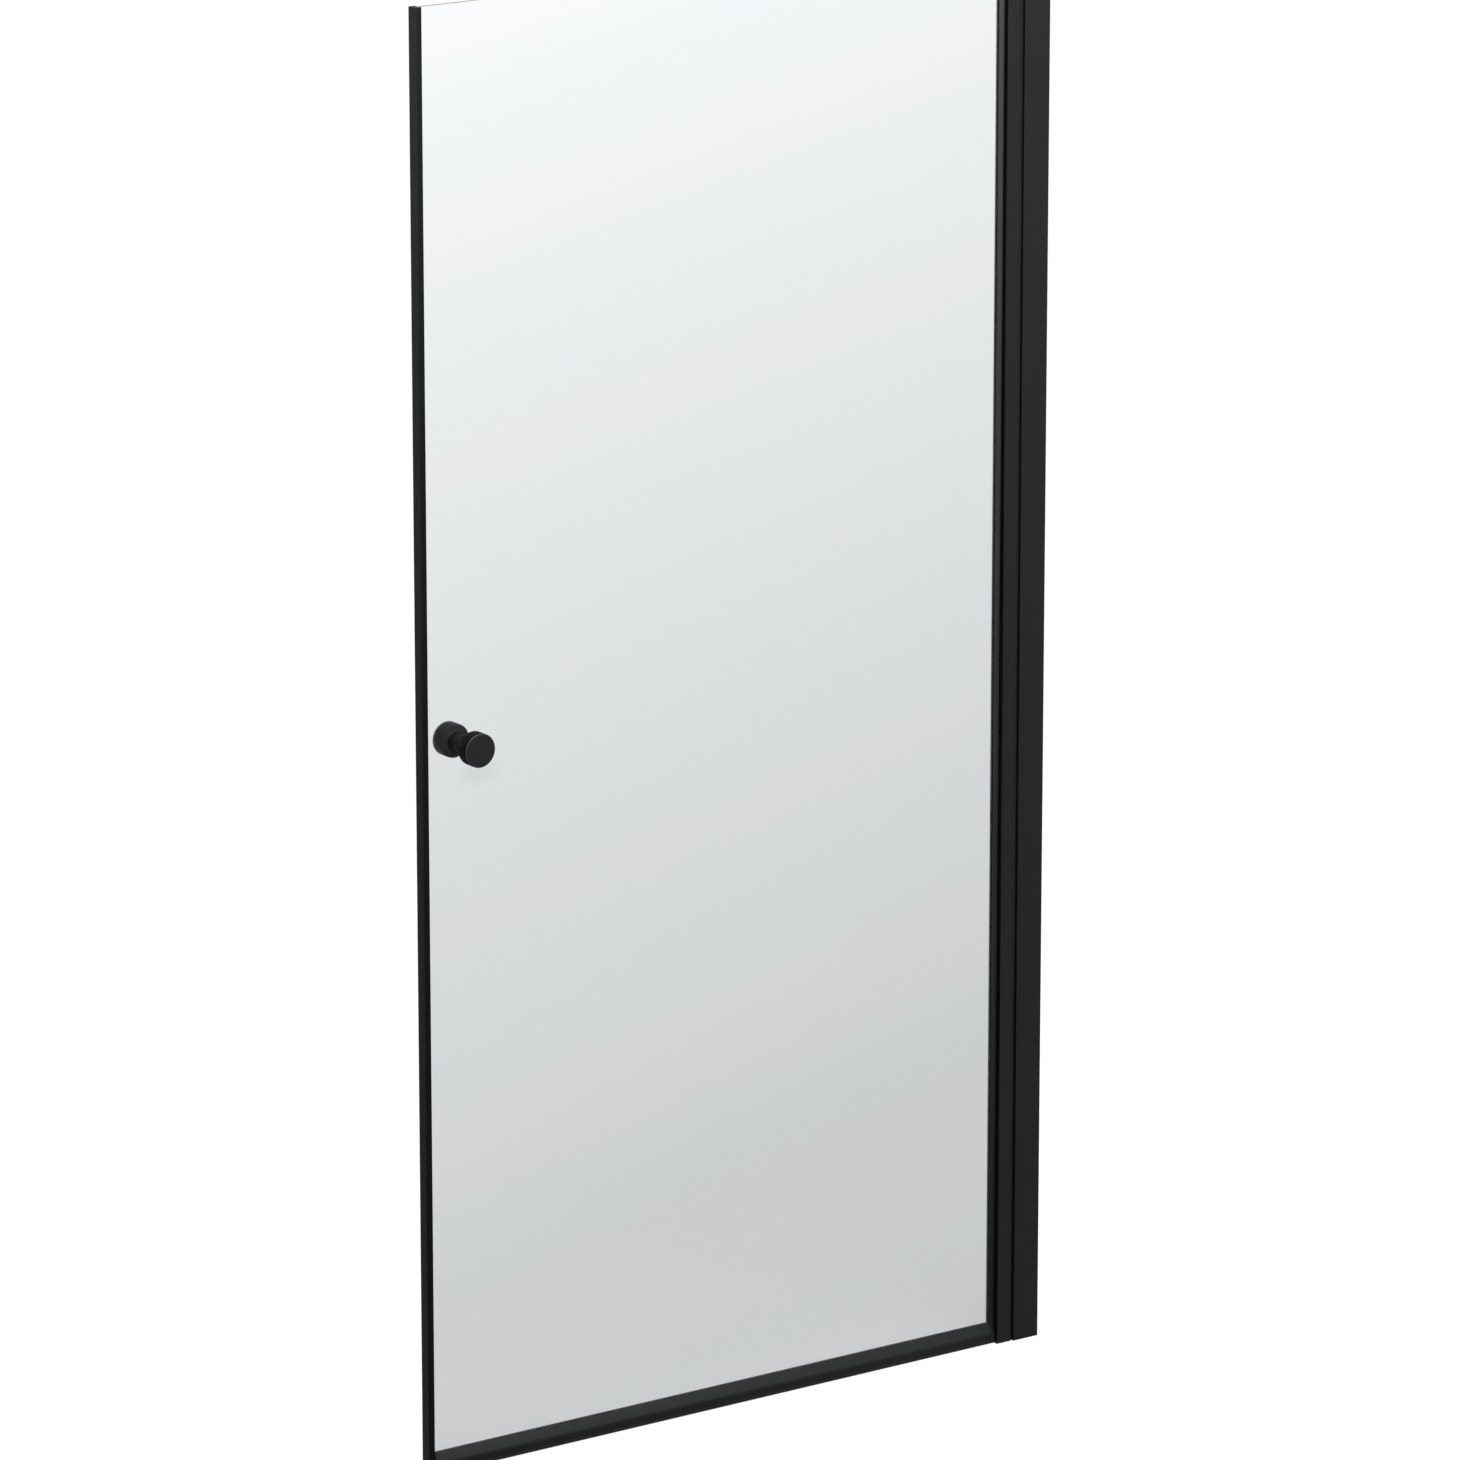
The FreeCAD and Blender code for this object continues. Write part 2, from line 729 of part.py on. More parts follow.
def make_hinge_stile():
    body = new_body("hinge_stile")
    sketch = new_sketch(body, "XY_Plane", (0, 0, door_foot))
    outline(sketch, [
        (stile_left, -pivot_r), (pivot_x, -pivot_r), Arc(pivot_x, 0), (pivot_x, pivot_r),
        (stile_left, pivot_r), (stile_left, groove_half), (groove_end, groove_half),
        (groove_end, -groove_half), (stile_left, -groove_half)])
    circle(sketch, pivot_x, 0, bore_r)
    pad(body, sketch, stile_top - door_foot)
    seat = new_sketch(body, "XY_Plane", (0, 0, stile_top))
    circle(seat, pivot_x, 0, bush_bore_r)
    pocket(body, seat, size("bush_depth"))
    return body


def make_stile_gasket():
    body = new_body("stile_gasket")
    sketch = new_sketch(body, "XY_Plane", (0, 0, door_foot))
    outline(sketch, [
        (stile_left, -groove_half), (groove_end, -groove_half), (groove_end, groove_half),
        (stile_left, groove_half), (stile_left, glass_half), (glass_right, glass_half),
        (glass_right, -glass_half), (stile_left, -glass_half)])
    pad(body, sketch, stile_top - door_foot)
    return body


def make_glass_pane():
    body = new_body("glass_pane")
    sketch = new_sketch(body, "XZ_Plane", (0, 0, -glass_half))
    notch_x = rail_right - size("gasket_end")
    outline(sketch, [
        (glass_left, size("glass_foot")), (notch_x, size("glass_foot")), (notch_x, door_foot),
        (glass_right, door_foot), (glass_right, glass_top), (glass_left, glass_top)])
    circle(sketch, knob_x, knob_z, size("stud_radius") + size("stud_clearance") + size("sleeve_wall")
           + size("sleeve_clearance"))
    pad(body, sketch, size("glass_thickness"))
    plate = body.Tip
    names = []
    for number, edge in enumerate(plate.Shape.Edges, start=1):
        box = edge.BoundBox
        if box.ZMin > glass_top.value - glass_half.value and box.XLength > glass_half.value * 4:
            names.append("Edge%d" % number)
    arris = body.newObject("PartDesign::Chamfer", "glass_arris")
    arris.Base = (plate, names)
    bind(arris, "Size", size("glass_arris"))
    doc.recompute()
    return body


def rail_front_points(top, bottom):
    """Front side of the rail's outline, from the glass down its flank."""
    return [(-groove_half, top), (-size("rail_front"), flank_z), (-size("rail_front"), bottom)]


def rail_groove_points():
    """The groove that holds the glass and its gasket, from the rear."""
    return [(groove_half, rail_top), (groove_half, groove_floor), (-groove_half, groove_floor)]


def make_drip_rail():
    body = new_body("drip_rail")
    sketch = new_sketch(body, "YZ_Plane", (0, 0, rail_left))
    wall = size("rail_wall")
    seal_y = size("seal_slot_from_front") - size("rail_front")
    mouth = size("seal_mouth") / 2
    slot_half = size("seal_slot_width") / 2
    slot_floor = rail_base + wall
    slot_top = slot_floor + size("seal_slot_height")
    outline(sketch, rail_front_points(rail_top, rail_base) + [
        (seal_y - mouth, rail_base), (seal_y - mouth, slot_floor), (seal_y - slot_half, slot_floor),
        (seal_y - slot_half, slot_top), (seal_y + slot_half, slot_top), (seal_y + slot_half, slot_floor),
        (seal_y + mouth, slot_floor), (seal_y + mouth, rail_base), (rail_rear, rail_base),
        (rail_rear, rail_top)] + rail_groove_points())
    chamber = rail_chamber(0)
    outline(sketch, chamber)
    pad(body, sketch, rail_right - rail_left)
    round_edges(body, "YZ_Plane", [(-size("rail_front"), flank_z)], size("rail_edge_radius"))
    return body


def rail_chamber(gap):
    """The hollow behind the flank, or what fits in it with this gap."""
    wall = size("rail_wall") + gap
    inner = -groove_half - wall
    outer = -size("rail_front") + wall
    drop = wall * size("rail_flank") / (size("rail_front") - groove_half)
    low = groove_floor + gap
    return [(inner, low), (inner, rail_top - drop * 2), (outer, flank_z), (outer, low)]


def make_rail_gasket():
    body = new_body("rail_gasket")
    sketch = new_sketch(body, "YZ_Plane", (0, 0, rail_left))
    foot = size("glass_foot")
    outline(sketch, [
        (-groove_half, groove_floor), (groove_half, groove_floor), (groove_half, rail_top),
        (glass_half, rail_top), (glass_half, foot), (-glass_half, foot), (-glass_half, rail_top),
        (-groove_half, rail_top)])
    pad(body, sketch, rail_right - size("gasket_end") - rail_left)
    return body


def make_bottom_seal():
    body = new_body("bottom_seal")
    sketch = new_sketch(body, "YZ_Plane", (0, 0, rail_left))
    gap = size("seal_clearance")
    seal_y = size("seal_slot_from_front") - size("rail_front")
    neck = size("seal_mouth") / 2 - gap
    root = size("seal_slot_width") / 2 - gap
    root_low = rail_base + size("rail_wall") + gap
    root_high = root_low + size("seal_slot_height") - gap * 2
    top = rail_base
    under = rail_base - size("seal_flange")
    ground = size("seal_ground_gap")
    front = -size("rail_front")
    rear = rail_rear - size("rail_wall")
    outline(sketch, [
        (front, top), (front, under), (front + gap, ground), (front + size("seal_lip"), ground),
        (front + size("seal_lip") * 2, under), (rear, under), (rear, top), (seal_y + neck, top),
        (seal_y + neck, root_low), (seal_y + root, root_low), (seal_y + root, root_high),
        (seal_y - root, root_high), (seal_y - root, root_low), (seal_y - neck, root_low),
        (seal_y - neck, top)])
    pad(body, sketch, rail_right - rail_left)
    return body


def rail_cap_plate(body, start, length, groove=()):
    """A plate with the rail's own outline, less the groove for the glass where there is one."""
    sketch = new_sketch(body, "YZ_Plane", (0, 0, start))
    rear = [(rail_rear, rail_base), (rail_rear, rail_top)]
    outline(sketch, rail_front_points(rail_top, rail_base) + rear + list(groove))
    pad(body, sketch, length)
    round_edges(body, "YZ_Plane", [(-size("rail_front"), flank_z)], size("rail_edge_radius"))


def rail_cap_tongue(body, start):
    """The tongue holds the cap in the rail's hollow."""
    sketch = new_sketch(body, "YZ_Plane", (0, 0, start))
    outline(sketch, rail_chamber(size("tongue_clearance")))
    pad(body, sketch, size("rail_cap_tongue"))


def make_closing_end_cap():
    body = new_body("closing_end_cap")
    rail_cap_plate(body, rail_left - size("rail_cap"), size("rail_cap"), rail_groove_points())
    rail_cap_tongue(body, rail_left)
    return body


def make_hinge_end_cap():
    body = new_body("hinge_end_cap")
    rail_cap_plate(body, rail_right, size("rail_cap"))
    rail_cap_tongue(body, rail_right - size("rail_cap_tongue"))
    flank = new_sketch(body, "YZ_Plane", (0, 0, rail_right))
    outline(flank, [(-groove_half, rail_top), (-size("rail_front"), flank_z), (rail_rear, flank_z),
                    (rail_rear, rail_top)])
    pad(body, flank, nose_left - size("rail_nose_gap") - rail_right)
    barrel = new_sketch(body, "XY_Plane", (0, 0, flank_z))
    outline(barrel, [(rail_right, -pivot_r), (pivot_x, -pivot_r), Arc(pivot_x, 0), (pivot_x, pivot_r),
                     (rail_right, pivot_r)])
    pad(body, barrel, rail_top - flank_z)
    bore = new_sketch(body, "XY_Plane", (0, 0, rail_top))
    circle(bore, pivot_x, 0, bore_r)
    pocket(body, bore, rail_top - flank_z)
    return body


def make_edge_strip():
    body = new_body("edge_strip")
    sketch = new_sketch(body, "XY_Plane", (0, 0, size("seal_ground_gap")))
    channel = glass_half + size("strip_glass_clearance")
    front = [(glass_left, -channel), (strip_lip_end, -channel), (strip_right, -strip_half),
             (door_left, -strip_half)]
    back = [(strip_right, strip_half), (strip_lip_end, channel), (glass_left, channel)]
    outline(sketch, [front[3], front[2], front[1], front[0]] + [back[2], back[1], back[0]]
            + [(door_left, strip_half)])
    magnet_left = door_left + size("strip_face")
    gap = size("magnet_clearance")
    half = size("magnet_depth") / 2 + gap
    rectangle(sketch, (magnet_left, -half), (magnet_left + size("magnet_width") + gap * 2, half))
    pad(body, sketch, glass_top - size("seal_ground_gap"))
    round_edges(body, "XY_Plane", [(door_left, -strip_half), (door_left, strip_half),
                                   (strip_right, -strip_half), (strip_right, strip_half)],
                size("strip_edge_radius"))
    return body


def make_magnet_strip():
    body = new_body("magnet_strip")
    sketch = new_sketch(body, "XY_Plane", (0, 0, size("seal_ground_gap")))
    left = door_left + size("strip_face") + size("magnet_clearance")
    half = size("magnet_depth") / 2
    rectangle(sketch, (left, -half), (left + size("magnet_width"), half))
    pad(body, sketch, glass_top - size("seal_ground_gap"))
    return body


def make_knob(label, side):
    """side is -1 for the wet side and 1 for the dry side."""
    body = new_body(label)
    sketch = new_sketch(body, "XY_Plane", (knob_x, 0, knob_z))
    seat = glass_half + size("knob_washer")
    reach = size("knob_reach")
    shoulder = reach - size("knob_head_length")
    neck = size("knob_neck_radius")
    head = size("knob_head_radius")
    edge = size("knob_edge_bevel")
    thread = size("stud_radius") + size("running_clearance")
    depth = size("stud_half_length") + size("stud_clearance")
    points = [(thread, seat), (neck, seat), (neck, shoulder), (head, shoulder), (head, reach - edge),
              (head - edge, reach), (0, reach), (0, depth), (thread, depth)]
    outline(sketch, [(across, as_length(along) * side) for across, along in points])
    revolve(body, sketch)
    return body


def make_knob_stud():
    stud = cylinder_along_y("knob_stud", knob_x, -size("stud_half_length"), knob_z,
                            size("stud_radius"), size("stud_half_length") * 2)
    stud.Label = "knob_stud"
    return stud


def make_ring(label, start, length, inner, outer):
    """A flat ring about the knob's axis."""
    disc = cylinder_along_y(label + "_disc", knob_x, start, knob_z, outer, length)
    hole = cylinder_along_y(label + "_hole", knob_x, start - size("overrun"), knob_z, inner,
                            length + size("overrun") * 2)
    ring = doc.addObject("Part::Cut", label)
    ring.Label = label
    ring.Base = disc
    ring.Tool = hole
    return ring


def make_knob_rings():
    inner = size("stud_radius") + size("stud_clearance")
    washer = size("knob_washer")
    neck = size("knob_neck_radius")
    return [
        make_ring("front_knob_washer", -glass_half - washer, washer, inner, neck),
        make_ring("rear_knob_washer", glass_half, washer, inner, neck),
        make_ring("knob_sleeve", -glass_half, size("glass_thickness"), inner, inner + size("sleeve_wall")),
    ]


pieces = [make_wall_profile(), make_wall_profile_cap()]
pieces += make_clamp_fasteners()
pieces += [make_hinge_profile(), make_lower_hinge_block(), make_upper_hinge_block(), make_block_screws(),
           make_lower_pin(), make_upper_spindle()]
pieces += make_cams()
pieces += [make_lift_bush(), make_hinge_stile(), make_stile_gasket(), make_glass_pane(), make_drip_rail(),
           make_rail_gasket(), make_bottom_seal(), make_closing_end_cap(), make_hinge_end_cap(),
           make_edge_strip(), make_magnet_strip(), make_knob("front_knob", -1), make_knob("rear_knob", 1),
           make_knob_stud()]
pieces += make_knob_rings()

doc.recompute()

for item in doc.Objects:
    if "Invalid" in item.State or "Error" in item.State:
        raise RuntimeError("%s is in state %s" % (item.Name, item.State))
for piece in pieces:
    if piece.Shape.isNull() or not piece.Shape.isValid():
        raise RuntimeError("%s has no valid shape" % piece.Label)

os.makedirs("parts", exist_ok=True)
for piece in pieces:
    piece.Shape.exportStep("parts/%s.step" % piece.Label)
    print("%-20s %2d solid(s) %12.1f mm3" % (piece.Label, len(piece.Shape.Solids), piece.Shape.Volume))
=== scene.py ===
# %% [markdown]
# A framed shower door
#
# This lesson dresses a working model of a swing shower door: a clear pane in slim
# matt-black profiles, a round knob on each side of the glass, and a hinge that lifts
# the door as it opens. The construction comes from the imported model, which stays
# where it is. Blender adds the finishes, the softer edges, the light and the camera.

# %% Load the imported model
import json
import math

import bmesh
import bpy
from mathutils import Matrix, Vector


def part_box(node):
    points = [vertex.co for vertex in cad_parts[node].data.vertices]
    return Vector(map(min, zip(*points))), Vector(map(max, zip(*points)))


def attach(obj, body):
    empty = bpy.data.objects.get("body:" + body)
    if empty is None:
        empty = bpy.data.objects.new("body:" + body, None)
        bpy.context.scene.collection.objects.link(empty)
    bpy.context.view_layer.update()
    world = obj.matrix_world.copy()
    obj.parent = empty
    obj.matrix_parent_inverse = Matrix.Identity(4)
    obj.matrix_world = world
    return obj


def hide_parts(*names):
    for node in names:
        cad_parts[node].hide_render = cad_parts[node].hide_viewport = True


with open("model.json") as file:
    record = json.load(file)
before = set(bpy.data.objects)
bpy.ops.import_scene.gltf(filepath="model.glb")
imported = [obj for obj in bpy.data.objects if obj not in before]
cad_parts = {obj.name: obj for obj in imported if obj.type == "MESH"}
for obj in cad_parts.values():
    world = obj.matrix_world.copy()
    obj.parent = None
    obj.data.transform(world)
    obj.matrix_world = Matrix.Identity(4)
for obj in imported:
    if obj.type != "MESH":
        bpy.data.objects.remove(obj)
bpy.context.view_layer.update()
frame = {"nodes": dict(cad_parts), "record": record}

nodes = frame["nodes"]
MM = 0.001

# %% [markdown]
# Every effect that several materials share is a shader node group with named inputs.
# Building one takes many calls, so small helpers make the group and its sockets, add a
# node with its inputs and mix two colours. Each recipe below then reads like a list of
# ingredients.

# %% Helpers for shader nodes
SOCKET_KINDS = {"value": "NodeSocketFloat", "colour": "NodeSocketColor", "vector": "NodeSocketVector"}


def new_group(name, inputs, outputs):
    """An empty shader node group with named sockets, and its two end nodes."""
    group = bpy.data.node_groups.new(name, "ShaderNodeTree")
    for label, kind in inputs.items():
        group.interface.new_socket(name=label, in_out="INPUT", socket_type=SOCKET_KINDS[kind])
    for label, kind in outputs.items():
        group.interface.new_socket(name=label, in_out="OUTPUT", socket_type=SOCKET_KINDS[kind])
    return group, group.nodes.new("NodeGroupInput"), group.nodes.new("NodeGroupOutput")


def add_node(tree, kind, settings=None, **inputs):
    """A node whose inputs are linked where a socket is given, and set otherwise.

    i0 is the first input, i1 the second, and in a name an underscore stands for a space.
    """
    node = tree.nodes.new(kind)
    for key, value in (settings or {}).items():
        setattr(node, key, value)
    for label, value in inputs.items():
        socket = node.inputs[int(label[1:]) if label[0] == "i" and label[1:].isdigit() else label.replace("_", " ")]
        if isinstance(value, bpy.types.NodeSocket):
            tree.links.new(value, socket)
        else:
            socket.default_value = value
    return node


def add_group(tree, group, **inputs):
    """A shader node group placed in a material."""
    return add_node(tree, "ShaderNodeGroup", {"node_tree": group}, **inputs)


def mix_colours(tree, share, first, second, blend="MIX"):
    """The mix of two colours: its colour sockets are the inputs 6 and 7 and the output 2."""
    return add_node(tree, "ShaderNodeMix", {"data_type": "RGBA", "blend_type": blend},
                    Factor=share, i6=first, i7=second).outputs[2]


def new_material(name):
    """An empty material, its node tree and its shader."""
    material = bpy.data.materials.new(name)
    material.use_nodes = True
    return material, material.node_tree, material.node_tree.nodes["Principled BSDF"]


print("socket kinds:", ", ".join(SOCKET_KINDS))

# %% [markdown]
# Powder coat, moulded plastic and rubber are never perfectly even. Under a lens they
# show a fine grain that shifts the colour and the gloss a little and gives the surface
# tiny hills. A picture of the grain would need every piece unwrapped. One group makes
# all three from a noise in the object's own space instead, so the grain also stays on
# the piece when the door swings.

# %% The fine grain group
FINE_DETAIL = 3.0
FINE_ROUGHNESS = 0.6
BROAD_SCALE = 9.0
BROAD_DETAIL = 2.0
NOISE_LOW = 0.3
NOISE_HIGH = 0.7


def make_fine_grain():
    group, start, end = new_group(
        "fine_grain",
        {"Colour": "colour", "Second Colour": "colour", "Grain Scale": "value", "Stretch": "vector",
         "Least Roughness": "value", "Most Roughness": "value"},
        {"Colour": "colour", "Roughness": "value", "Height": "value"})
    place = add_node(group, "ShaderNodeTexCoord").outputs["Object"]
    stretched = add_node(group, "ShaderNodeVectorMath", {"operation": "MULTIPLY"},
                         i0=place, i1=start.outputs["Stretch"]).outputs[0]
    fine = add_node(group, "ShaderNodeTexNoise", Vector=stretched, Scale=start.outputs["Grain Scale"],
                    Detail=FINE_DETAIL, Roughness=FINE_ROUGHNESS).outputs["Fac"]
    broad = add_node(group, "ShaderNodeTexNoise", Vector=place, Scale=BROAD_SCALE,
                     Detail=BROAD_DETAIL).outputs["Fac"]
    half = add_node(group, "ShaderNodeMath", {"operation": "MULTIPLY"}, i0=broad, i1=0.5).outputs[0]
    both = add_node(group, "ShaderNodeMath", {"operation": "MULTIPLY_ADD"}, i0=fine, i1=0.5, i2=half).outputs[0]
    rough = add_node(group, "ShaderNodeMapRange", Value=both, From_Min=NOISE_LOW, From_Max=NOISE_HIGH,
                     To_Min=start.outputs["Least Roughness"], To_Max=start.outputs["Most Roughness"])
    colour = mix_colours(group, broad, start.outputs["Colour"], start.outputs["Second Colour"])
    group.links.new(colour, end.inputs["Colour"])
    group.links.new(rough.outputs["Result"], end.inputs["Roughness"])
    group.links.new(fine, end.inputs["Height"])
    return group


fine_grain = make_fine_grain()
print("made", fine_grain.name, "with", len(fine_grain.nodes), "nodes")

# %% [markdown]
# The pane and the stile beside it change tone from foot to top in the photograph, as
# light falls on them. Lamps alone could do part of it, but then the tone would depend on
# the room, so the tones are painted light, shade and reflection instead. A second group
# measures how high a point is, with a slant that makes the tones climb towards the wall,
# and hands back that level and a share from 0 at the foot to 1 at the top.

# %% The height fade group
def make_height_fade():
    group, start, end = new_group(
        "height_fade", {"Low": "value", "High": "value", "Slant": "value"}, {"Fade": "value", "Level": "value"})
    place = add_node(group, "ShaderNodeTexCoord").outputs["Object"]
    parts = add_node(group, "ShaderNodeSeparateXYZ", Vector=place).outputs
    lean = add_node(group, "ShaderNodeMath", {"operation": "MULTIPLY"},
                    i0=parts["X"], i1=start.outputs["Slant"]).outputs[0]
    level = add_node(group, "ShaderNodeMath", {"operation": "SUBTRACT"}, i0=parts["Z"], i1=lean).outputs[0]
    fade = add_node(group, "ShaderNodeMapRange", Value=level, From_Min=start.outputs["Low"],
                    From_Max=start.outputs["High"]).outputs["Result"]
    group.links.new(fade, end.inputs["Fade"])
    group.links.new(level, end.inputs["Level"])
    return group


height_fade = make_height_fade()
print("made", height_fade.name, "with", len(height_fade.nodes), "nodes")

# %% [markdown]
# The opaque finishes are one recipe with different values. The grain group feeds
# colour and roughness, and its height goes through a Bump node. Everything that is the
# same all over, such as the strength of the reflection, sits on the shader itself.

# %% The opaque finishes
PLAIN_STRETCH = (1.0, 1.0, 1.0)
DRAWN_STRETCH = (1.0, 1.0, 0.05)
FINISHES = {
    # name: colour, second colour, grain scale, stretch, least and most roughness, bump depth, specular
    "black_aluminium": ((0.0120, 0.0122, 0.0124), (0.0150, 0.0152, 0.0154), 1400, PLAIN_STRETCH, 0.46, 0.60,
                        0.00006, 0.08),
    "black_metal": ((0.0115, 0.0117, 0.0120), (0.0140, 0.0142, 0.0145), 1400, PLAIN_STRETCH, 0.44, 0.58,
                    0.00006, 0.08),
    "black_plastic": ((0.0110, 0.0112, 0.0114), (0.0140, 0.0142, 0.0144), 900, PLAIN_STRETCH, 0.50, 0.64,
                      0.00004, 0.10),
    "knob": ((0.0060, 0.0062, 0.0065), (0.0080, 0.0082, 0.0085), 1600, PLAIN_STRETCH, 0.32, 0.42,
             0.00004, 0.15),
    # the knob's painted light and shade: painted highlight on the bevel, painted shade on the front head's wall,
    # painted light on the rear head's wall and under the heads
    "knob_rim_painted_highlight": ((0.0260, 0.0260, 0.0265), (0.0300, 0.0300, 0.0305), 1600, PLAIN_STRETCH, 0.46, 0.56,
                 0.00003, 0.22),
    "knob_wall_painted_shade": ((0.0035, 0.0036, 0.0038), (0.0050, 0.0052, 0.0054), 1600, PLAIN_STRETCH, 0.48, 0.60,
                  0.00004, 0.03),
    "knob_back_painted_light": ((0.0125, 0.0128, 0.0132), (0.0145, 0.0148, 0.0152), 1600, PLAIN_STRETCH, 0.40, 0.52,
                  0.00004, 0.13),
    "knob_inner_painted_light": ((0.0340, 0.0345, 0.0350), (0.0380, 0.0385, 0.0390), 1600, PLAIN_STRETCH, 0.50, 0.60,
                   0.00004, 0.15),
    "strip": ((0.0050, 0.0052, 0.0054), (0.0070, 0.0072, 0.0074), 700, DRAWN_STRETCH, 0.42, 0.54,
              0.00003, 0.03),
    # painted shade on the faces that turn towards the closing edge
    "closing_side_painted_shade": ((0.0030, 0.0030, 0.0032), (0.0040, 0.0040, 0.0042), 900, PLAIN_STRETCH, 0.70, 0.80,
               0.00004, 0.01),
    "seal": ((0.0100, 0.0100, 0.0102), (0.0130, 0.0130, 0.0132), 600, PLAIN_STRETCH, 0.62, 0.76,
             0.00005, 0.14),
    "gasket": ((0.0100, 0.0100, 0.0102), (0.0140, 0.0140, 0.0142), 600, PLAIN_STRETCH, 0.58, 0.72,
               0.00004, 0.14),
    "magnet": ((0.0240, 0.0235, 0.0230), (0.0320, 0.0310, 0.0300), 500, PLAIN_STRETCH, 0.60, 0.75,
               0.00005, 0.14),
    "bearing_plastic": ((0.0220, 0.0220, 0.0225), (0.0280, 0.0280, 0.0285), 500, PLAIN_STRETCH, 0.30, 0.42,
                        0.00002, 0.30),
}


def opaque_material(name, values):
    colour, second, scale, stretch, least, most, depth, specular = values
    material, tree, shader = new_material(name)
    grain = add_group(tree, fine_grain, Colour=(*colour, 1.0), Second_Colour=(*second, 1.0), Grain_Scale=scale,
                      Stretch=stretch, Least_Roughness=least, Most_Roughness=most)
    bump = add_node(tree, "ShaderNodeBump", Strength=1.0, Distance=depth, Height=grain.outputs["Height"])
    tree.links.new(grain.outputs["Colour"], shader.inputs["Base Color"])
    tree.links.new(grain.outputs["Roughness"], shader.inputs["Roughness"])
    tree.links.new(bump.outputs["Normal"], shader.inputs["Normal"])
    shader.inputs["Specular IOR Level"].default_value = specular
    return material


materials = {name: opaque_material(name, values) for name, values in FINISHES.items()}
print("opaque finishes:", ", ".join(materials))

# %% [markdown]
# Stainless steel shows on the pins, and the two screws on the dry side are of the same
# steel, blackened. Both use the recipe above with the shader's Metallic turned up, and
# the grain of the bright steel is drawn out round the pin like turning marks.

# %% The steel finishes
TURNED_STRETCH = (0.3, 0.3, 4.0)
STEELS = {
    "steel": ((0.50, 0.50, 0.51), (0.58, 0.58, 0.59), 900, TURNED_STRETCH, 0.24, 0.38, 0.00003, 0.50),
    "blackened_steel": ((0.060, 0.060, 0.063), (0.085, 0.085, 0.088), 900, PLAIN_STRETCH, 0.34, 0.46, 0.00003, 0.50),
}
for name, values in STEELS.items():
    materials[name] = opaque_material(name, values)
    materials[name].node_tree.nodes["Principled BSDF"].inputs["Metallic"].default_value = 1.0
print("steels:", ", ".join(STEELS))

# %% [markdown]
# The pane is clear toughened glass. The photograph gives it a soft grey that deepens
# towards the foot, with faint cooler bands, and here that grey is a painted reflection
# rather than the glass's own colour. A tinted volume would be equally dark all over, but
# the glass shader also tints what passes through by its Base Color. So the painted
# reflection is a colour ramp over the height fade, and the bands are a sine of the level.

# %% The painted reflection on the glass
GLASS_PAINTED_REFLECTION = (
    # share of the fade, colour
    (0.00, (0.532, 0.535, 0.545, 1.0)),
    (0.15, (0.533, 0.538, 0.548, 1.0)),
    (0.50, (0.672, 0.692, 0.703, 1.0)),
    (0.95, (0.888, 0.903, 0.916, 1.0)),
    (1.00, (0.938, 0.946, 0.955, 1.0)),
)
GLASS_SLANT = 0.2
GLASS_FADE_TOP = 2.0
BAND_SPACING = 0.3
BAND_TINT = (0.978, 1.0, 0.999, 1.0)


def painted_glass_reflection(tree):
    """A painted reflection: a colour that runs through GLASS_PAINTED_REFLECTION from foot to top, with the bands on
    it.
    """
    fade = add_group(tree, height_fade, Low=0.0, High=GLASS_FADE_TOP, Slant=GLASS_SLANT)
    ramp = add_node(tree, "ShaderNodeValToRGB", Fac=fade.outputs["Fade"])
    steps = ramp.color_ramp.elements
    steps[0].color = GLASS_PAINTED_REFLECTION[0][1]
    steps[1].color = GLASS_PAINTED_REFLECTION[-1][1]
    for share, tone in GLASS_PAINTED_REFLECTION[1:-1]:
        steps.new(share).color = tone
    turns = add_node(tree, "ShaderNodeMath", {"operation": "MULTIPLY"}, i0=fade.outputs["Level"],
                     i1=2 * math.pi / BAND_SPACING)
    wave = add_node(tree, "ShaderNodeMath", {"operation": "SINE"}, i0=turns.outputs[0])
    band = add_node(tree, "ShaderNodeMapRange", Value=wave.outputs[0], From_Min=-1.0, From_Max=1.0)
    return mix_colours(tree, band.outputs["Result"], ramp.outputs["Color"], BAND_TINT, "MULTIPLY")


print("glass tones:", len(GLASS_PAINTED_REFLECTION), "bands", BAND_SPACING, "m apart")

# %% [markdown]
# Under the front knob the photograph shows a faint shade on the pane. Clear glass
# catches hardly any shadow in a render, so the shade is a soft spot of a darker tone:
# the distance to its middle, measured in a flattened space, fades from 1 to 0.

# %% The shade under the knob
SHADE_TINT = (0.910, 0.915, 0.915, 1.0)
SHADE_FROM_KNOB = Vector((0.021, 0.0, -0.040))
SHADE_FLATTEN = Vector((0.55, 0.0, 1.0))
SHADE_RADIUS = 0.026


def knob_shade(tree, tone):
    """The tone, darker in a soft spot under the front knob."""
    knob_low, knob_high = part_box("front_knob")
    spot = (Vector(knob_low) + Vector(knob_high)) / 2 + SHADE_FROM_KNOB
    place = add_node(tree, "ShaderNodeTexCoord").outputs["Object"]
    flat = add_node(tree, "ShaderNodeVectorMath", {"operation": "MULTIPLY"}, i0=place, i1=SHADE_FLATTEN)
    away = add_node(tree, "ShaderNodeVectorMath", {"operation": "DISTANCE"}, i0=flat.outputs["Vector"],
                    i1=spot * SHADE_FLATTEN)
    near = add_node(tree, "ShaderNodeMapRange", {"interpolation_type": "SMOOTHSTEP"}, Value=away.outputs["Value"],
                    From_Min=0.0, From_Max=SHADE_RADIUS, To_Min=1.0, To_Max=0.0)
    return mix_colours(tree, near.outputs["Result"], tone, SHADE_TINT, "MULTIPLY")


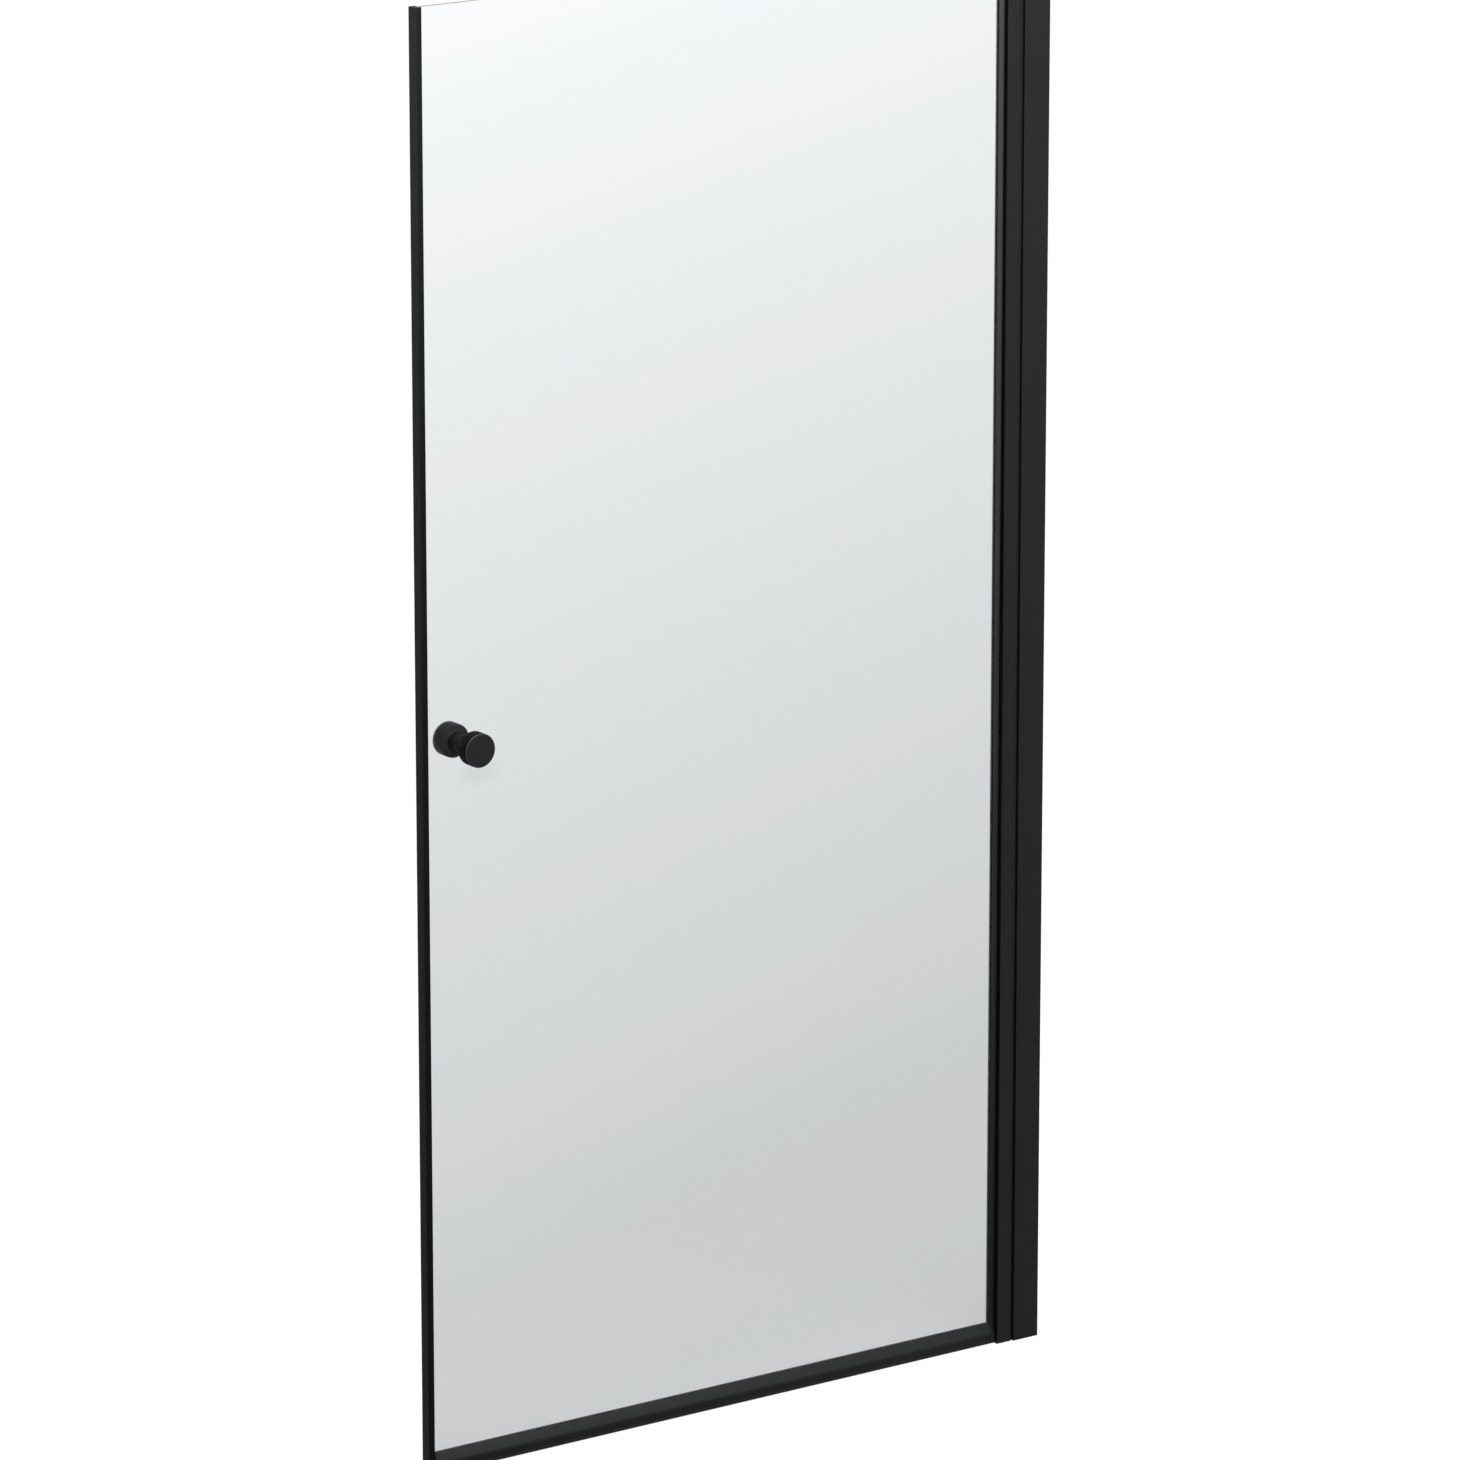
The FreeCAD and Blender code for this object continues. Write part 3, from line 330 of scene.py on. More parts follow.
print("shade", round(SHADE_RADIUS / MM), "mm high on each side of its middle")

# %% [markdown]
# Light falls through a real pane, but a render's glass stops lamp light like a wall. The
# material therefore lets shadow rays and soft light pass by its Alpha, while sight rays
# meet the real shader, which bends and mirrors them.

# %% The glass finish
GLASS_IOR = 1.5
LEAST_SHADOW = 0.12


def let_light_pass(tree, shader):
    """Let lamp light and soft light pass the glass, while sight rays meet the real shader."""
    path = add_node(tree, "ShaderNodeLightPath").outputs
    light = add_node(tree, "ShaderNodeMath", {"operation": "MAXIMUM"},
                     i0=path["Is Shadow Ray"], i1=path["Is Diffuse Ray"]).outputs[0]
    alpha = add_node(tree, "ShaderNodeMapRange", Value=light, To_Min=1.0, To_Max=LEAST_SHADOW)
    tree.links.new(alpha.outputs["Result"], shader.inputs["Alpha"])


def glass_material(name):
    material, tree, shader = new_material(name)
    shader.inputs["Transmission Weight"].default_value = 1.0
    shader.inputs["Roughness"].default_value = 0.0
    shader.inputs["IOR"].default_value = GLASS_IOR
    tree.links.new(knob_shade(tree, painted_glass_reflection(tree)), shader.inputs["Base Color"])
    let_light_pass(tree, shader)
    return material


materials["glass"] = glass_material("glass")
print("made", materials["glass"].name)

# %% [markdown]
# Where a pane is cut and ground, light runs along inside it and comes out greener and
# darker than through the face. The edge gets a finish of its own, with the same grain
# group on a slightly rough ground surface.

# %% The ground edge of the glass
GROUND_COLOUR = (0.52, 0.60, 0.57, 1.0)
GROUND_SECOND_COLOUR = (0.60, 0.68, 0.65, 1.0)
GROUND_GRAIN_SCALE = 600
GROUND_LEAST_ROUGHNESS = 0.10
GROUND_MOST_ROUGHNESS = 0.22


def edge_material(name):
    material, tree, shader = new_material(name)
    shader.inputs["Transmission Weight"].default_value = 1.0
    shader.inputs["IOR"].default_value = GLASS_IOR
    grain = add_group(tree, fine_grain, Colour=GROUND_COLOUR, Second_Colour=GROUND_SECOND_COLOUR,
                      Grain_Scale=GROUND_GRAIN_SCALE, Stretch=PLAIN_STRETCH,
                      Least_Roughness=GROUND_LEAST_ROUGHNESS, Most_Roughness=GROUND_MOST_ROUGHNESS)
    tree.links.new(grain.outputs["Colour"], shader.inputs["Base Color"])
    tree.links.new(grain.outputs["Roughness"], shader.inputs["Roughness"])
    let_light_pass(tree, shader)
    return material


materials["glass_edge"] = edge_material("glass_edge")
print("made", materials["glass_edge"].name)

# %% [markdown]
# Beside the pane the photograph shows a narrow upright that is clearly lighter near the
# top and sinks into black near the foot, as light falls on it. It is the door's stile,
# and its colour runs over the height fade as painted light and shade. The closing strip
# and the fronts of the hinge and wall profiles get the same painted light and shade, and
# the rail's painted light turns darker where its sloped flank ends.

# %% The finishes with painted light that changes with height
FADING = {
    # name: recipe, low and high end of the fade in metres, colour below, colour above
    # each of these is painted light and shade: darker at the foot, lighter towards the top
    "stile_painted_light": ("black_aluminium", 0.1, 1.9, (0.015, 0.015, 0.0155, 1.0), (0.044, 0.045, 0.047, 1.0)),
    "strip_front_painted_light": ("strip", 0.1, 1.9, (0.004, 0.004, 0.0042, 1.0), (0.009, 0.009, 0.0092, 1.0)),
    "strip_side_painted_light": ("strip", 0.1, 1.9, (0.0035, 0.0035, 0.0036, 1.0), (0.021, 0.021, 0.0215, 1.0)),
    "rail_flank": ("black_aluminium", 0.012, 0.017, (0.008, 0.008, 0.0083, 1.0), (0.0245, 0.025, 0.0255, 1.0)),
    "profile_front_painted_light": ("black_aluminium", 0.0, 1.0, (0.0098, 0.0100, 0.0102, 1.0), (0.0135, 0.0137, 0.0139, 1.0)),
}


# Painted light and shade: the base colour runs from the colour below to the colour above with height.
def fading_material(name, recipe, low, high, below, above):
    material = opaque_material(name, FINISHES[recipe])
    tree = material.node_tree
    fade = add_group(tree, height_fade, Low=low, High=high, Slant=0.0)
    ramp = add_node(tree, "ShaderNodeValToRGB", Fac=fade.outputs["Fade"])
    ramp.color_ramp.elements[0].color = below
    ramp.color_ramp.elements[1].color = above
    tree.links.new(ramp.outputs["Color"], tree.nodes["Principled BSDF"].inputs["Base Color"])
    return material


for name, values in FADING.items():
    materials[name] = fading_material(name, *values)
print("fading finishes:", ", ".join(FADING))

# %% [markdown]
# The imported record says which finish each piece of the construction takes. A node that
# stays only gets its material slots filled: its shape and place belong to the model.

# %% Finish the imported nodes
def dress(obj, *finishes):
    obj.data.materials.clear()
    for finish in finishes:
        obj.data.materials.append(materials[finish])


slot_of = {row["node"]: row["material_slot"] for row in frame["record"]["subparts"]}
for node_name, slot_name in slot_of.items():
    dress(nodes[node_name], slot_name)
print("dressed", len(slot_of), "nodes")

# %% [markdown]
# Every visible piece that is made here goes through the same steps: it gets an object,
# its finishes, the body that it moves with, the nodes that it stands for and its
# material slot. Faces that meet at a small angle are shaded as one smooth surface.

# %% Helpers for the visible pieces
SMOOTH_ANGLE = math.radians(35)


def body_of(node_name):
    for body, members in frame["record"]["behaviour"]["bodies"].items():
        if node_name in members:
            return body
    raise KeyError(node_name)


def finish_piece(piece, node_names, finish_names):
    """Material, body, slot and the nodes that the piece stands for."""
    dress(piece, *finish_names)
    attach(piece, body_of(node_names[0]))
    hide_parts(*node_names)
    return piece


def add_piece(name, mesh):
    piece = bpy.data.objects.new(name, mesh)
    bpy.context.scene.collection.objects.link(piece)
    return piece


def smooth_by_angle(mesh):
    for face in mesh.polygons:
        face.use_smooth = True
    mesh.set_sharp_from_angle(angle=SMOOTH_ANGLE)


# %% [markdown]
# Extruded profiles leave the die with tiny radii on every corner, and those radii are
# what catches the light. For the pieces that show, a copy of the imported mesh is welded,
# freed of needless edges and given a narrow bevel, and it stands in for the node. A
# Bevel modifier would trip over the unwelded seams. Several of these pieces take a finish
# with painted light that fades towards the foot, and on some the side that faces the
# closing edge has its own finish with painted shade, or painted light on the strip.

# %% Soften the edges of the profiles
WELD = 0.001 * MM
FLAT_ANGLE = math.radians(2)
CORNER_ANGLE = math.radians(40)
# faces turned this far towards the closing edge take the closing side's painted shade, or painted light on the strip
FACING_CLOSING_SIDE = -0.7
PAINTED_LIGHT_FINISH = {"wall_profile": "profile_front_painted_light", "hinge_profile": "profile_front_painted_light", "hinge_stile": "stile_painted_light",
               "edge_strip": "strip_front_painted_light", "drip_rail": "rail_flank"}
CLOSING_SIDE_PAINTED_SHADING = {"wall_profile": "closing_side_painted_shade", "hinge_profile": "closing_side_painted_shade", "edge_strip": "strip_side_painted_light"}
SOFTENED = {
    "wall_profile": 0.25 * MM,
    "wall_profile_cap": 0.4 * MM,
    "hinge_profile": 0.25 * MM,
    "lower_hinge_block": 0.25 * MM,
    "upper_hinge_block": 0.25 * MM,
    "hinge_stile": 0.2 * MM,
    "drip_rail": 0.2 * MM,
    "closing_end_cap": 0.2 * MM,
    "hinge_end_cap": 0.2 * MM,
    "edge_strip": 0.25 * MM,
    "bottom_seal": 0.2 * MM,
}


def soften(node_name, width):
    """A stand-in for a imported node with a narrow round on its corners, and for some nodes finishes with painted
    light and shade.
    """
    mesh = nodes[node_name].data.copy()
    sheet = bmesh.new()
    sheet.from_mesh(mesh)
    bmesh.ops.remove_doubles(sheet, verts=sheet.verts, dist=WELD)
    bmesh.ops.dissolve_limit(sheet, angle_limit=FLAT_ANGLE, verts=sheet.verts, edges=sheet.edges)
    corners = [edge for edge in sheet.edges if len(edge.link_faces) == 2 and edge.calc_face_angle(0) > CORNER_ANGLE]
    bmesh.ops.bevel(sheet, geom=corners, offset=width, segments=2, profile=0.5, affect="EDGES", clamp_overlap=True)
    sheet.to_mesh(mesh)
    sheet.free()
    piece = add_piece(node_name + "_softened", mesh)
    smooth_by_angle(mesh)
    finishes = [PAINTED_LIGHT_FINISH.get(node_name, slot_of[node_name])]
    if node_name in CLOSING_SIDE_PAINTED_SHADING:
        finishes.append(CLOSING_SIDE_PAINTED_SHADING[node_name])
    finish_piece(piece, [node_name], finishes)
    # faces towards the closing edge take the second finish, with painted shade or painted light
    for face in mesh.polygons:
        face.material_index = 1 if len(finishes) > 1 and face.normal.x < FACING_CLOSING_SIDE else 0
    return piece


for node_name, width in SOFTENED.items():
    made = soften(node_name, width)
    print(made.name, len(made.data.polygons), "faces")

# %% [markdown]
# Between the rail's end and the hinge profile the water would find a gap, so a small
# rubber wiper closes it in front: an L-shaped plate that starts under the rail's end cap,
# rises beside it and stops just short of the hinge profile. Its outline is drawn from the
# front, pushed back to its thickness, and its edges are rounded.

# %% Cut the end wiper
END_CAP_PLATE = 1.7 * MM
WIPER_FRONT_INSET = 0.1 * MM
WIPER_THICKNESS = 2.1 * MM
WIPER_HINGE_GAP = 0.4 * MM
WIPER_ROUND = 0.3 * MM


def flank_foot(mesh, front, beyond):
    """The height at which the end cap's flank begins, past its plate."""
    return min(vertex.co.z for vertex in mesh.vertices if vertex.co.x > beyond and vertex.co.y < front + WELD)


def make_wiper():
    seal_low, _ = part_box("bottom_seal")
    rail_low, rail_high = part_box("drip_rail")
    profile_low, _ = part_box("hinge_profile")
    left, right = rail_high.x, profile_low.x - WIPER_HINGE_GAP
    beside = left + END_CAP_PLATE
    knee = flank_foot(nodes["hinge_end_cap"].data, rail_low.y, beside + WELD)
    front = rail_low.y + WIPER_FRONT_INSET
    outline = [(left, seal_low.z), (right, seal_low.z), (right, knee), (beside, knee), (beside, rail_low.z),
               (left, rail_low.z)]
    sheet = bmesh.new()
    near = [sheet.verts.new((across, front, up)) for across, up in outline]
    far = [sheet.verts.new((across, front + WIPER_THICKNESS, up)) for across, up in outline]
    sheet.faces.new(near)
    sheet.faces.new(far)
    for index in range(len(outline)):
        after = (index + 1) % len(outline)
        sheet.faces.new([near[index], near[after], far[after], far[index]])
    bmesh.ops.recalc_face_normals(sheet, faces=sheet.faces)
    bmesh.ops.bevel(sheet, geom=sheet.edges[:], offset=WIPER_ROUND, segments=2, profile=0.5, affect="EDGES")
    mesh = bpy.data.meshes.new("end_wiper")
    sheet.to_mesh(mesh)
    sheet.free()
    smooth_by_angle(mesh)
    piece = add_piece("end_wiper", mesh)
    dress(piece, "seal")
    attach(piece, "door")
    return piece


wiper = make_wiper()
print(wiper.name, len(wiper.data.polygons), "faces,", round(max(v.co.z for v in wiper.data.vertices) / MM, 2),
      "mm up to the flank")

# %% [markdown]
# The knobs, the screw covers and the screws are turned parts: one outline spun about an
# axis. On a real part every corner of that outline is rounded a little. A Bevel modifier
# rounds them all alike, so the corners are rounded in the outline, each with its own
# radius, before the mesh code spins it.

# %% Helpers for turned parts
ARC_STEPS = 5


def rounded_path(points, radii):
    """Replace each corner of an open outline by an arc of its radius."""
    path = []
    for index, point in enumerate(points):
        corner = Vector(point)
        radius = radii[index]
        if radius == 0 or index in (0, len(points) - 1):
            path.append(corner)
            continue
        before = (Vector(points[index - 1]) - corner).normalized()
        after = (Vector(points[index + 1]) - corner).normalized()
        half = before.angle(after) / 2
        centre = corner + (before + after).normalized() * radius / math.sin(half)
        first = corner + before * radius / math.tan(half) - centre
        last = corner + after * radius / math.tan(half) - centre
        sweep = first.angle_signed(last)
        for step in range(ARC_STEPS + 1):
            turned = -sweep * step / ARC_STEPS
            path.append(centre + Vector((first.x * math.cos(turned) - first.y * math.sin(turned),
                                         first.x * math.sin(turned) + first.y * math.cos(turned))))
    return path


def turned_mesh(name, path, centre, side, segments):
    """Spin (radius, reach) pairs about an axis along Y through centre. side is -1 towards the wet side."""
    sheet = bmesh.new()
    rings = []
    for radius, reach in path:
        ring = []
        if radius < WELD:
            ring.append(sheet.verts.new((centre[0], reach * side, centre[1])))
        else:
            for step in range(segments):
                angle = 2 * math.pi * step / segments
                ring.append(sheet.verts.new((centre[0] + radius * math.cos(angle), reach * side,
                                             centre[1] + radius * math.sin(angle))))
        rings.append(ring)
    for near, far in zip(rings, rings[1:]):
        for step in range(segments):
            after = (step + 1) % segments
            corners = [near[step % len(near)], near[after % len(near)], far[after % len(far)], far[step % len(far)]]
            corners = list(dict.fromkeys(corners))
            if len(corners) > 2:
                sheet.faces.new(corners)
    for ring in (rings[0], rings[-1]):
        if len(ring) > 1:
            sheet.faces.new(ring)
    bmesh.ops.recalc_face_normals(sheet, faces=sheet.faces)
    mesh = bpy.data.meshes.new(name)
    sheet.to_mesh(mesh)
    sheet.free()
    smooth_by_angle(mesh)
    return mesh


print("arcs of", ARC_STEPS, "steps")

# %% [markdown]
# A narrow bevel round each knob's front face catches the light as the bright thin line
# that the photograph shows there, and its lighter finish adds a painted highlight. The
# photograph's light also falls unevenly on a knob: the front head's wall lies in deep
# shade, the rear head's wall is less deeply shaded, and the faces under both heads are
# lit more. Each zone of the turned mesh gets its own finish with painted light or shade,
# chosen by how far a face lies from the axis and from the glass.

# %% Turn the knobs
KNOB_SEGMENTS = 96
NECK_RADIUS = 11 * MM
HEAD_LENGTH = 19 * MM
SEAT_ROUND = 0.3 * MM
NECK_FILLET = 2.5 * MM
SHOULDER_ROUND = 1.5 * MM
FACE_BEVEL = 1.1 * MM
BEVEL_ROUND = 0.3 * MM
BEVEL_ZONE = 1.05 * FACE_BEVEL
# the plain knob finish, then its painted highlight, painted shade and painted light
KNOB_FINISHES = ["knob", "knob_rim_painted_highlight", "knob_wall_painted_shade", "knob_back_painted_light", "knob_inner_painted_light"]


def knob_zone(face, head, reach, centre, side):
    """Finish index with painted highlight, light or shade: 1 on the bevel round the face, 2 or 3 on the front or
    rear head's wall, 4 on its underside, 0 elsewhere.
    """
    spot = face.center
    from_axis = math.hypot(spot.x - centre[0], spot.z - centre[1])
    if from_axis > NECK_RADIUS + NECK_FILLET / 2 and abs(spot.y) < reach - HEAD_LENGTH + SHOULDER_ROUND / 2:
        return 4
    if from_axis < head - BEVEL_ZONE:
        return 0
    if abs(spot.y) > reach - BEVEL_ZONE:
        return 1
    return 2 if side < 0 else 3


for node_name, side in (("front_knob", -1), ("rear_knob", 1)):
    low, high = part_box(node_name)
    centre = ((low.x + high.x) / 2, (low.z + high.z) / 2)
    head = (high.x - low.x) / 2
    seat, reach = sorted((abs(low.y), abs(high.y)))
    points = [(0, seat), (NECK_RADIUS, seat), (NECK_RADIUS, reach - HEAD_LENGTH), (head, reach - HEAD_LENGTH),
              (head, reach - FACE_BEVEL), (head - FACE_BEVEL, reach), (0, reach)]
    radii = [0, SEAT_ROUND, NECK_FILLET, SHOULDER_ROUND, BEVEL_ROUND, BEVEL_ROUND, 0]
    mesh = turned_mesh(node_name + "_turned", rounded_path(points, radii), centre, side, KNOB_SEGMENTS)
    piece = add_piece(node_name + "_turned", mesh)
    finish_piece(piece, [node_name], KNOB_FINISHES)
    for face in mesh.polygons:
        face.material_index = knob_zone(face, head, reach, centre, side)
    print(piece.name, len(mesh.polygons), "faces, head radius", round(head / MM, 1), "mm")

# %% [markdown]
# The pane is a flat outline with a notch over the hinge and a hole for the knob. A
# Boolean could cut both from a plate, but its rims can't be ground evenly afterwards. A
# filled two-dimensional curve makes the pane in one go: its extrusion is the thickness,
# and its bevel is the ground arris that runs round every edge, the hole's as well.

# %% Cut the pane
ARRIS = 0.5 * MM
HOLE_CLEARANCE = 0.1 * MM
HOLE_SIDES = 48
NOTCH_GAP = 0.6 * MM
FACING_THROUGH = 0.9


def flat_spline(curve, points):
    spline = curve.splines.new("POLY")
    spline.points.add(len(points) - 1)
    for spot, (across, up) in zip(spline.points, points):
        spot.co = (across, up, 0.0, 1.0)
    spline.use_cyclic_u = True


def pane_curve():
    """The outline and the hole, drawn flat in the XY plane."""
    low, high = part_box("glass_pane")
    stile_low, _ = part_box("hinge_stile")
    sleeve_low, sleeve_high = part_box("knob_sleeve")
    notch = stile_low.x - NOTCH_GAP
    curve = bpy.data.curves.new("pane_outline", "CURVE")
    curve.dimensions = "2D"
    curve.fill_mode = "BOTH"
    flat_spline(curve, [(low.x, low.z), (notch, low.z), (notch, stile_low.z), (high.x, stile_low.z),
                        (high.x, high.z), (low.x, high.z)])
    centre = ((sleeve_low.x + sleeve_high.x) / 2, (sleeve_low.z + sleeve_high.z) / 2)
    radius = (sleeve_high.x - sleeve_low.x) / 2 + HOLE_CLEARANCE
    flat_spline(curve, [(centre[0] + radius * math.cos(2 * math.pi * step / HOLE_SIDES),
                         centre[1] - radius * math.sin(2 * math.pi * step / HOLE_SIDES))
                        for step in range(HOLE_SIDES)])
    curve.extrude = high.y - ARRIS
    curve.bevel_depth = ARRIS
    curve.bevel_resolution = 0
    curve.offset = -ARRIS
    return curve


def make_pane():
    holder = bpy.data.objects.new("pane_outline", pane_curve())
    bpy.context.scene.collection.objects.link(holder)
    bpy.context.view_layer.update()
    mesh = bpy.data.meshes.new_from_object(holder.evaluated_get(bpy.context.evaluated_depsgraph_get()))
    bpy.data.objects.remove(holder)
    for vertex in mesh.vertices:
        across, up, depth = vertex.co
        vertex.co = (across, -depth, up)
    piece = add_piece("glass_pane_ground", mesh)
    finish_piece(piece, ["glass_pane"], ["glass", "glass_edge"])
    for face in mesh.polygons:
        face.use_smooth = False
        face.material_index = 0 if abs(face.normal.y) > FACING_THROUGH else 1
    return piece


pane = make_pane()
print(pane.name, len(pane.data.polygons), "faces")

# %% [markdown]
# Three clamp screws lock the hinge profile in the wall profile. On the dry side each
# hides under a snap cover, a thin domed cup. The covers are turned like the knobs, and
# one piece holds all three.

# %% Turn the screw covers
FASTENER_SEGMENTS = 48
COVER_WALL = 1.0 * MM
COVER_ROUND = 1.6 * MM


def turned_piece(name, path, centres, side, node_name, finish):
    """One piece made of the same turned shape at several places."""
    joined = bmesh.new()
    for centre in centres:
        mesh = turned_mesh(name, path, centre, side, FASTENER_SEGMENTS)
        joined.from_mesh(mesh)
        bpy.data.meshes.remove(mesh)
    mesh = bpy.data.meshes.new(name)
    joined.to_mesh(mesh)
    joined.free()
    smooth_by_angle(mesh)
    piece = add_piece(name, mesh)
    return finish_piece(piece, [node_name], [finish])


low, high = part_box("screw_covers")
radius = (high.x - low.x) / 2
across = (low.x + high.x) / 2
heights = (low.z + radius, (low.z + high.z) / 2, high.z - radius)
cover_outer = rounded_path([(radius, low.y), (radius, high.y), (0, high.y)], [0, COVER_ROUND, 0])
cover_inner = [(0, high.y - COVER_WALL), (radius - COVER_WALL, high.y - COVER_WALL), (radius - COVER_WALL, low.y)]
covers = turned_piece("screw_covers_domed", [Vector(pair) for pair in cover_inner] + cover_outer,
                      [(across, height) for height in heights], 1, "screw_covers", "black_plastic")
print(covers.name, len(covers.data.polygons), "faces")

# %% [markdown]
# Two pan-head screws hold the hinge blocks, each with a hexagon socket. A Boolean would
# leave thin triangles round the socket, so it starts as a turned recess, and its wall is
# then pressed to six flats.

# %% Turn the block screws
HEAD_HEIGHT = 1.6 * MM
HEAD_ROUND = 1.0 * MM
HEAD_SEAT_ROUND = 0.2 * MM
SHANK_RADIUS = 1.9 * MM
SHANK_TIP_ROUND = 0.4 * MM
SOCKET_RADIUS = 1.45 * MM
SOCKET_DEPTH = 1.1 * MM


def press_hexagon(mesh, centre, radius, least_reach):
    """Move the vertices of a turned recess from their circle onto six flats."""
    for vertex in mesh.vertices:
        across, up = vertex.co.x - centre[0], vertex.co.z - centre[1]
        if abs(math.hypot(across, up) - radius) < WELD and vertex.co.y > least_reach:
            turn = math.atan2(up, across) % (math.pi / 3)
            share = math.cos(math.pi / 6) / math.cos(turn - math.pi / 6)
            vertex.co.x = centre[0] + across * share
            vertex.co.z = centre[1] + up * share


low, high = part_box("block_screws")
radius = (high.x - low.x) / 2
across = (low.x + high.x) / 2
screw_centres = [(across, low.z + radius), (across, high.z - radius)]
seat = high.y - HEAD_HEIGHT
screw_path = rounded_path(
    [(0, low.y), (SHANK_RADIUS, low.y), (SHANK_RADIUS, seat), (radius, seat), (radius, high.y),
     (SOCKET_RADIUS, high.y), (SOCKET_RADIUS, high.y - SOCKET_DEPTH), (0, high.y - SOCKET_DEPTH)],
    [0, SHANK_TIP_ROUND, 0, HEAD_SEAT_ROUND, HEAD_ROUND, 0, 0, 0])
screws = turned_piece("block_screws_turned", screw_path, screw_centres, 1, "block_screws", "blackened_steel")
for centre in screw_centres:
    press_hexagon(screws.data, centre, SOCKET_RADIUS, seat)
print(screws.name, len(screws.data.polygons), "faces")

# %% [markdown]
# The floor and what stands behind the door are plain and pale. To sight rays, also
# those that a mirror or the glass sends on, the floor adds a steady glow to its lit
# surface. Together they come to white, and the door's soft shadow stays in the lit part.

# %% Lay the floor
FLOOR_SIZE = 120.0
FLOOR_COLOUR = (0.32, 0.32, 0.32, 1.0)
FLOOR_GLOW = 0.73
FLOOR_GAP = 0.5 * MM
WHITE = (1.0, 1.0, 1.0, 1.0)


def sight_rays(tree):
    """1 for rays that the eye follows, straight, mirrored or through glass."""
    path = add_node(tree, "ShaderNodeLightPath").outputs
    mirrored = add_node(tree, "ShaderNodeMath", {"operation": "MAXIMUM"},
                        i0=path["Is Camera Ray"], i1=path["Is Glossy Ray"]).outputs[0]
    return add_node(tree, "ShaderNodeMath", {"operation": "MAXIMUM"},
                    i0=mirrored, i1=path["Is Transmission Ray"]).outputs[0]


def floor_material():
    material, tree, shader = new_material("pale_floor")
    tree.nodes.remove(shader)
    lit = add_node(tree, "ShaderNodeBsdfDiffuse", Color=FLOOR_COLOUR).outputs[0]
    strength = add_node(tree, "ShaderNodeMath", {"operation": "MULTIPLY"}, i0=sight_rays(tree), i1=FLOOR_GLOW)
    glow = add_node(tree, "ShaderNodeEmission", Color=WHITE, Strength=strength.outputs[0]).outputs[0]
    both = add_node(tree, "ShaderNodeAddShader", i0=lit, i1=glow).outputs[0]
    tree.links.new(both, tree.nodes["Material Output"].inputs["Surface"])
    return material


floor_mesh = bpy.data.meshes.new("floor")
edge = FLOOR_SIZE / 2
floor_mesh.from_pydata([(-edge, -edge, -FLOOR_GAP), (edge, -edge, -FLOOR_GAP), (edge, edge, -FLOOR_GAP),
                        (-edge, edge, -FLOOR_GAP)], [], [(0, 1, 2, 3)])
floor_mesh.materials.append(floor_material())
floor = add_piece("floor", floor_mesh)
print("floor of", FLOOR_SIZE, "m")

# %% [markdown]
# The light is a pale room with one broad soft lamp above, in front and a little to the
# left, as the lit slope of the rail and the bright rim of the knob in the photograph
# say. A second, smaller lamp near the door's top makes the uprights fade towards the foot.

# %% Light the room
ROOM_STRENGTH = 0.45
SUN_STRENGTH = 1.6
SUN_FROM = Vector((-0.45, -0.55, 1.25))
SUN_SPREAD = math.radians(35)
TOP_LAMP_POWER = 60.0
TOP_LAMP_WIDTH = 3.0
TOP_LAMP_HEIGHT = 0.7
TOP_LAMP_SPOT = Vector((-0.5, -1.4, 2.9))
TOP_LAMP_AIM = Vector((-0.1, 0.0, 2.0))


def light_room():
    world = bpy.data.worlds.new("pale_room")
    bpy.context.scene.world = world
    world.use_nodes = True
    tree = world.node_tree
    tree.nodes.clear()
    strength = add_node(tree, "ShaderNodeMapRange", Value=sight_rays(tree), To_Min=ROOM_STRENGTH, To_Max=1.0)
    background = add_node(tree, "ShaderNodeBackground", Color=WHITE, Strength=strength.outputs["Result"])
    output = tree.nodes.new("ShaderNodeOutputWorld")
    tree.links.new(background.outputs[0], output.inputs["Surface"])


